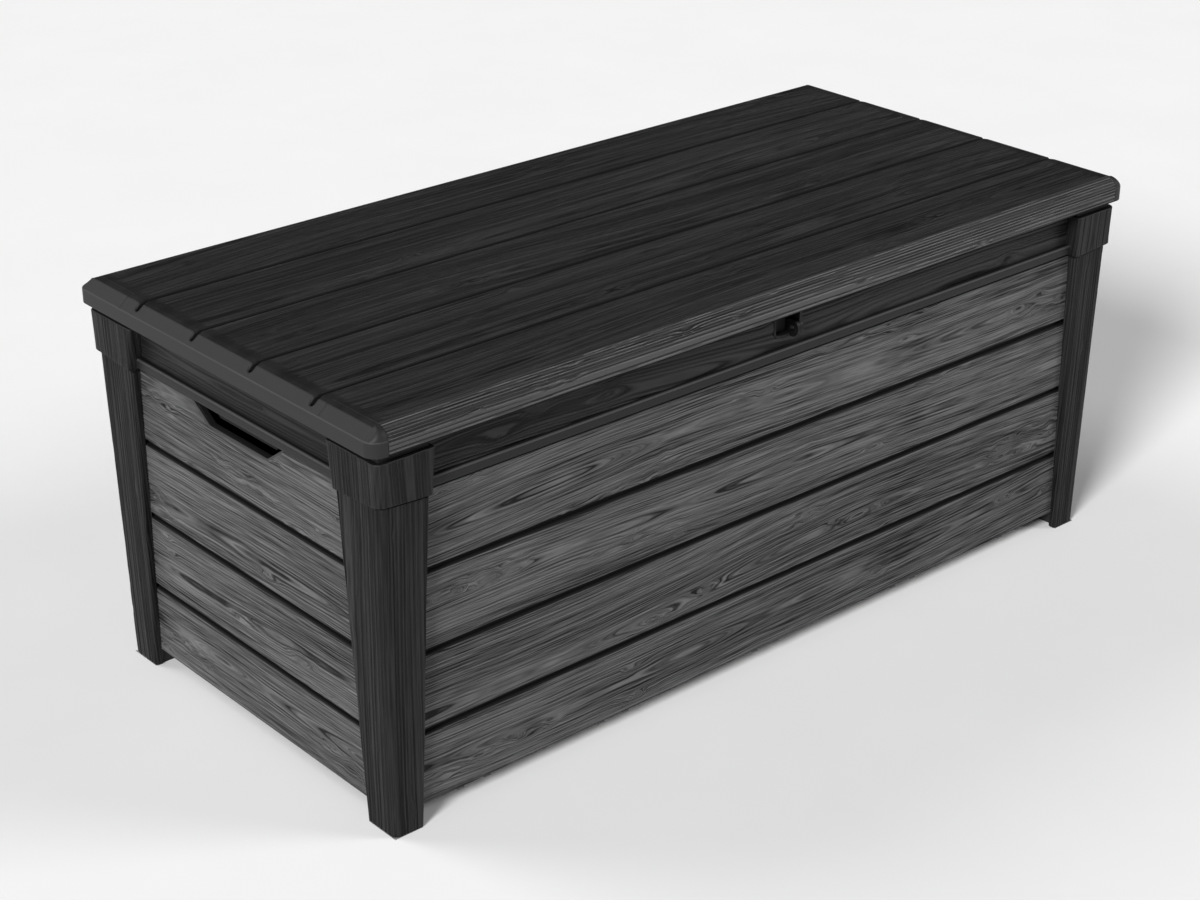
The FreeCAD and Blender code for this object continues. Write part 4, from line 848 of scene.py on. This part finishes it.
def lid_columns():
    """(x, cap) for every column across the lid; a cap is the height of an upright end wall."""
    inwards = (0.0, 0.35, 1.0, 1.5, 2.2, 3, 4, 5, 6, 7, 8.5, 10, 12, 14, 15.1, 16.5, 18, 20, 22,
               23.2, 23.7, 24.1, 24.6, 25.1, 25.5, 27, 30, 34)
    left = [(0.0, height * MM) for height in EDGE_WALL] + [(step * MM, None) for step in inwards]
    inner = LID_X - left[-1][0]
    columns = [(-LID_X + step, cap) for step, cap in left]
    columns += [(x, None) for x in spaced(-inner, inner, 6.5 * MM)[1:-1]]
    return columns + [(LID_X - step, cap) for step, cap in reversed(left)]


def lid_rows():
    """(y, cap) for every row from the front lip over the top to the rear lip."""
    rows = [(-LID_Y, z) for z in spaced(LIP, LID_TOP - NOSE, 0.75 * MM)[:-1]]
    for angle in np.linspace(0, 90, 39)[:-1]:
        rows.append((-LID_Y + NOSE * (1 - math.cos(math.radians(angle))), None))
    seams = [sign * SEAM_SIDE + step * MM for sign in (-1, 1) for step in (-0.9, -0.45, 0, 0.45, 0.9)]
    steps = (0, 2.2, 2.6, 3.0, 3.4, 3.8, 4.3, 4.9, 5.5, 6.1, 6.8)
    grooves = [centre + sign * step * MM for centre in groove_centres()
               for sign in (-1, 1) for step in steps]
    plain = spaced(-LID_Y + NOSE, LID_Y - REAR_EDGE[-1][0] * MM, 1.5 * MM)
    kept = [y for y in plain if abs(abs(y) - SEAM_SIDE) > 1.4 * MM
            and all(abs(y - centre) > 7.4 * MM for centre in groove_centres())]
    rows += [(y, None) for y in sorted(set(np.round(kept + grooves + seams, 7)))]
    tail = (26, 24, 22, 20, 17, 14, 11, 8, 5.5, 3.5, 2.2, 1.5, 1.0, 0.35, 0.0)
    rows += [(LID_Y - step * MM, None) for step in tail]
    return rows + [(LID_Y, height * MM) for height in reversed(EDGE_WALL)]


def as_cap(steps):
    """The caps of columns or rows, with none given as a height far above the lid."""
    return np.array([10.0 if cap is None else cap for _, cap in steps])


def lid_surface():
    """The lid's whole outer face as one grid of points, and the y of each row."""
    columns, rows = lid_columns(), lid_rows()
    row_y = np.array([y for y, _ in rows])
    x, y = np.meshgrid([x for x, _ in columns], row_y)
    end, front, rear = LID_X - np.abs(x), y + LID_Y, LID_Y - y
    side = np.where(y < 0, nose_height(front), edge_height(rear, REAR_EDGE))
    z = smooth_min(smooth_min(edge_height(end, END_EDGE), side, 1.5 * MM), LID_TOP, 0.7 * MM)

    a, b = np.abs(x) - (LID_X - LID_CORNER), np.abs(y) - (LID_Y - LID_CORNER)
    corner = (a > 0) & (b > 0)
    a, b = np.maximum(a, 1e-9), np.maximum(b, 1e-9)
    radius = np.maximum(a, b)
    turn = np.where(a >= b, math.pi / 4 * b / a, math.pi / 2 - math.pi / 4 * a / b)
    inwards = LID_CORNER - radius
    share = ease(turn, 0.15, math.pi / 2 - 0.15)
    round_side = np.where(y < 0, nose_height(inwards), edge_height(inwards, REAR_EDGE))
    z_corner = edge_height(inwards, END_EDGE) * (1 - share) + round_side * share
    z = np.where(corner, smooth_min(z_corner, LID_TOP, 0.7 * MM), z)
    x = np.where(corner, np.sign(x) * (LID_X - LID_CORNER + radius * np.cos(turn)), x)
    y = np.where(corner, np.sign(y) * (LID_Y - LID_CORNER + radius * np.sin(turn)), y)
    z = np.minimum(z, np.minimum(as_cap(columns)[None, :], as_cap(rows)[:, None]))
    return np.stack([x, y, z], -1), row_y


def groove_sink(points):
    """How deep the board joints and the witness line are cut at each point, as two values."""
    x, y = points[..., 0], points[..., 1]
    end = LID_X - np.abs(x)
    sink = np.zeros_like(x)
    mouth = 1 - ease(end, 16 * MM, 27 * MM)
    for centre in groove_centres():
        away = np.hypot(y - centre, np.maximum(0, 11.5 * MM - end))
        sink = np.maximum(sink, LID_GROOVE * (1 - ease(away, 2.1 * MM, 4.6 * MM)))
        sink = np.maximum(sink, 2.6 * MM * mouth * (1 - ease(away, 2.6 * MM, 6.8 * MM)))
    on_end = (end < SEAM_END + 0.2 * MM) & (end > 1.2 * MM)
    across = np.where(on_end, np.abs(np.abs(y) - SEAM_SIDE), 1)
    along = np.where(np.abs(y) > SEAM_SIDE, np.abs(end - SEAM_END), 1)
    seam = 0.8 * MM * (1 - ease(np.minimum(across, along), 0.1 * MM, 0.8 * MM))
    return sink, seam


def cells(values):
    """The value at the first corner of each cell of a grid."""
    return values[:-1, :-1]


def cell_means(values):
    """The mean of two opposite corners of each cell."""
    return (values[:-1, :-1] + values[1:, 1:]) / 2


def lid_finish(place, end, sink, boards, nose, in_nose, beyond_seam):
    """Material of each cell: 0 boards, 1 smooth bevel, 2 front edge, 3 joint painted near-black as shade, 4
    painted highlight line.
    """
    end_bevel, rear_bevel = END_EDGE[-2][0] * MM, REAR_EDGE[-2][0] * MM
    smooth = cells(boards + nose) < 0.02
    bevel = smooth & (cells(end) < end_bevel + 0.1 * MM)
    bevel |= smooth & (cells(end) < SEAM_END) & (cells(in_nose) > 0.5)
    bevel |= smooth & (cells(place)[..., 1] > LID_Y - rear_bevel - 0.2 * MM)
    top = cell_means(place[..., 2])
    finish = np.zeros(smooth.shape, int)
    finish[bevel] = 1
    finish[cells(in_nose * beyond_seam) > 0.4] = 2
    # the board joints take the near-black resin: painted shade in the grooves
    finish[cell_means(sink) > np.where(cells(end) < 24 * MM, 2.8 * MM, 1.5 * MM)] = 3
    # a thin band at the foot of the bevel takes the lighter resin: a painted highlight line
    finish[bevel & (top > HIGHLIGHT_LINE[0]) & (top < HIGHLIGHT_LINE[1])] = 4
    return finish.reshape(-1)


def lid_skins(seed):
    """Five boards with their ends, each from joint to joint."""
    points, row_y = lid_surface()
    normal = np.cross(np.gradient(points, axis=1), np.gradient(points, axis=0))
    normal /= np.maximum(np.linalg.norm(normal, axis=2, keepdims=True), 1e-12)
    v = arc_length(points[:, points.shape[1] // 2])[:, None] + 0 * points[..., 0]
    u, y = points[..., 0] + LID_X, points[..., 1]
    end = LID_X - np.abs(points[..., 0])
    ragged = 6 * MM * noise(y * 260, y * 0, seed + 50)
    inner = ease(end, 30 * MM + ragged, 36 * MM + ragged)
    in_nose = 1 - ease(y, -LID_Y + 0.9 * NOSE, -LID_Y + 1.25 * NOSE)
    in_rear = ease(y, LID_Y - 31 * MM, LID_Y - 28 * MM)
    beyond_seam = ease(end, SEAM_END + 0.2 * MM, SEAM_END + 1.0 * MM)
    sink, seam = groove_sink(points)
    on_boards = inner * (1 - in_nose) * (1 - in_rear) * (1 - ease(sink, 0.0, 0.3 * MM))
    on_nose = beyond_seam * in_nose
    length = 2 * LID_X
    nose_lines, nose_ring = NOSE_GRAIN.height(u, v, length, 50 * MM, seed + 7)
    limits = [-1] + groove_centres() + [1]
    for index, (low, high) in enumerate(zip(limits, limits[1:])):
        chosen = np.where((row_y >= low - 1e-6) & (row_y <= high + 1e-6))[0]
        part = slice(chosen[0], chosen[-1] + 1)
        lines, ring = LID_GRAIN.height(u[part], v[part] - v[part][0, 0], length, BOARD_PITCH,
                                       seed + 31 * index)
        boards, nose = on_boards[part], on_nose[part]
        depth = LID_GRAIN.depth * (1 - lines) * boards + NOSE_GRAIN.depth * (1 - nose_lines[part]) * nose
        moved = points[part] - normal[part] * (depth + seam[part])[..., None]
        moved[..., 2] = np.maximum(moved[..., 2] - sink[part], LIP)
        shade = lines * boards + nose_lines[part] * nose + 0.7 * (1 - boards) * (1 - nose)
        ring = np.where(nose > boards, nose_ring[part], ring)
        skin = Skin()
        skin.add_grid(moved, np.stack([shade, ring, np.maximum(boards, nose)], -1))
        skin.slots[0] = lid_finish(points[part], end[part], sink[part], boards, nose,
                                   in_nose[part], beyond_seam[part])
        name = f"lid_board_{index + 1}"
        piece = skin.build(name, [board_resin, edge_resin, nose_resin, painted_shade_resin, painted_highlight_edge])
        finish_piece(piece, "lid", "lid_resin", "lid_shell")


def lid_underside():
    """The ribs, cells and lip that the CAD node has under its boards."""
    joint_floor, deck = LID_TOP - 8.8 * MM, LID_TOP - 3.5 * MM

    def below(centre, normal):
        x, y, z = np.abs(centre[:, 0]), np.abs(centre[:, 1]), centre[:, 2]
        inside = (x < LID_X - 3.5 * MM) & (y < LID_Y - 3.5 * MM)
        near_joint = np.zeros(len(centre), bool)
        for joint in groove_centres():
            near_joint |= (np.abs(centre[:, 1] - joint) < 5.5 * MM) & (z > joint_floor)
        arm_x, arm_y = x - (LID_X - LID_CORNER), y - (LID_Y - LID_CORNER)
        at_corner = (arm_x > 0) & (arm_y > 0) & (np.hypot(arm_x, arm_y) > LID_CORNER - 2 * MM)
        walls = (np.abs(normal[:, 2]) < 0.3) & inside & ~near_joint & (z < deck) & ~at_corner
        return walls | (normal[:, 2] < -0.5)
    skin = Skin()
    skin.add_cad("lid_shell", below)
    piece = skin.build("lid_underside", [inner_resin])
    return finish_piece(piece, "lid", "lid_resin", "lid_shell")


# ------------------------------------------------------------------ assembly
for number, side_name in enumerate(SIDES):
    wall_skin(side_name, 100 + 211 * number)
    rail_skin(side_name, 1300 + 97 * number)
for number, (corner_name, mirror_signs) in enumerate((
        ("post_front_left", (-1, -1)), ("post_front_right", (1, -1)),
        ("post_back_left", (-1, 1)), ("post_back_right", (1, 1)))):
    post_skin(corner_name, mirror_signs, 2100 + 61 * number)
lid_skins(3300)
lid_underside()

FINISHES = {
    "floor_resin": smooth_resin("floor_resin", 0.055, 0.60),
    "hasp_resin": hasp_resin,
    "beam_steel": metal("beam_paint", (0.028, 0.028, 0.030), 0.45, 0.0),
    "hinge_steel": metal("hinge_paint", (0.040, 0.040, 0.042), 0.40, 0.0),
    "bracket_steel": metal("bracket_paint", (0.034, 0.034, 0.036), 0.42, 0.0),
    "screw_zinc": metal("zinc_plate", (0.56, 0.57, 0.60), 0.32, 1.0),
    "strut_paint": metal("strut_paint", (0.020, 0.020, 0.022), 0.30, 0.0),
    "rod_chrome": metal("rod_chrome", (0.70, 0.70, 0.72), 0.12, 1.0, (1, 1, 0.05)),
    "rod_end_plastic": smooth_resin("rod_end_plastic", 0.024, 0.50),
}
for entry in frame["record"]["subparts"]:
    finish = FINISHES.get(entry["material_slot"])
    if finish:
        cad_mesh = frame["nodes"][entry["node"]].data
        cad_mesh.materials.clear()
        cad_mesh.materials.append(finish)


# ----------------------------------------------------- floor, lights, camera
FLOOR_RINGS = (20, 28, 36, 44, 52, 60)
FLOOR_RISE = 6
FLOOR_STEPS = 96
FLOOR_COLOURS = ((0.905, 0.905, 0.905), (0.925, 0.925, 0.925))
CAMERA_PLACE = (-2.1831, -2.4342, 1.7840)
CAMERA_DOWN, CAMERA_TURN = 25.4, 41.1  # degrees below level, and to the right of straight ahead
CAMERA_LENS, CAMERA_SENSOR = 70.38, 36


def studio_floor():
    """A flat pale floor that rises gently far away, so that low views have no dark horizon."""
    material, tree, shader = new_material("pale_floor")
    tone = ranged(tree, stretched_noise(tree, 3, (1, 1, 1)), 0.3, 0.7, 0, 1)
    tree.links.new(colour_between(tree, tone, *FLOOR_COLOURS), shader.inputs["Base Color"])
    shader.inputs["Roughness"].default_value = 0.8
    points = []
    for reach in FLOOR_RINGS:
        rise = FLOOR_RISE * ((reach - FLOOR_RINGS[0]) / (FLOOR_RINGS[-1] - FLOOR_RINGS[0])) ** 2
        for step in range(FLOOR_STEPS):
            turn = math.tau * step / FLOOR_STEPS
            points.append((reach * math.cos(turn), reach * math.sin(turn), rise))
    faces = [tuple(range(FLOOR_STEPS))]
    for ring in range(len(FLOOR_RINGS) - 1):
        for step in range(FLOOR_STEPS):
            here = ring * FLOOR_STEPS + step
            beside = ring * FLOOR_STEPS + (step + 1) % FLOOR_STEPS
            faces.append((here, here + FLOOR_STEPS, beside + FLOOR_STEPS, beside))
    mesh = bpy.data.meshes.new("studio_floor")
    mesh.from_pydata(points, [], faces)
    mesh.shade_smooth()
    mesh.materials.append(material)
    floor = bpy.data.objects.new("studio_floor", mesh)
    bpy.context.scene.collection.objects.link(floor)


def soft_sun(name, azimuth, elevation, spread, strength):
    """Soft even light from one part of the sky. Azimuth 0 stands in front."""
    light = bpy.data.lights.new(name, "SUN")
    light.angle = math.radians(spread)
    light.energy = strength
    lamp = bpy.data.objects.new(name, light)
    a, e = math.radians(azimuth), math.radians(elevation)
    direction = Vector((math.sin(a) * math.cos(e), -math.cos(a) * math.cos(e), math.sin(e)))
    lamp.location = direction * 5
    lamp.rotation_euler = direction.to_track_quat("Z", "Y").to_euler()
    bpy.context.scene.collection.objects.link(lamp)


def studio_world(level):
    world = bpy.data.worlds.new("studio")
    world.use_nodes = True
    background = world.node_tree.nodes["Background"]
    background.inputs["Color"].default_value = (1, 1, 1, 1)
    background.inputs["Strength"].default_value = level
    bpy.context.scene.world = world


def camera():
    data = bpy.data.cameras.new("camera")
    data.sensor_width = CAMERA_SENSOR
    data.lens = CAMERA_LENS
    data.clip_end = 100
    eye = bpy.data.objects.new("camera", data)
    eye.location = CAMERA_PLACE
    eye.rotation_euler = (math.radians(90 - CAMERA_DOWN), 0, math.radians(-CAMERA_TURN))
    bpy.context.scene.collection.objects.link(eye)
    bpy.context.scene.camera = eye


studio_floor()
soft_sun("key", -68, 28, 16, 3.5)
soft_sun("fill", 47, 30, 22, 1.05)
soft_sun("back", -150, 42, 30, 0.9)
studio_world(0.12)
bpy.context.scene.view_settings.view_transform = "Standard"
camera()
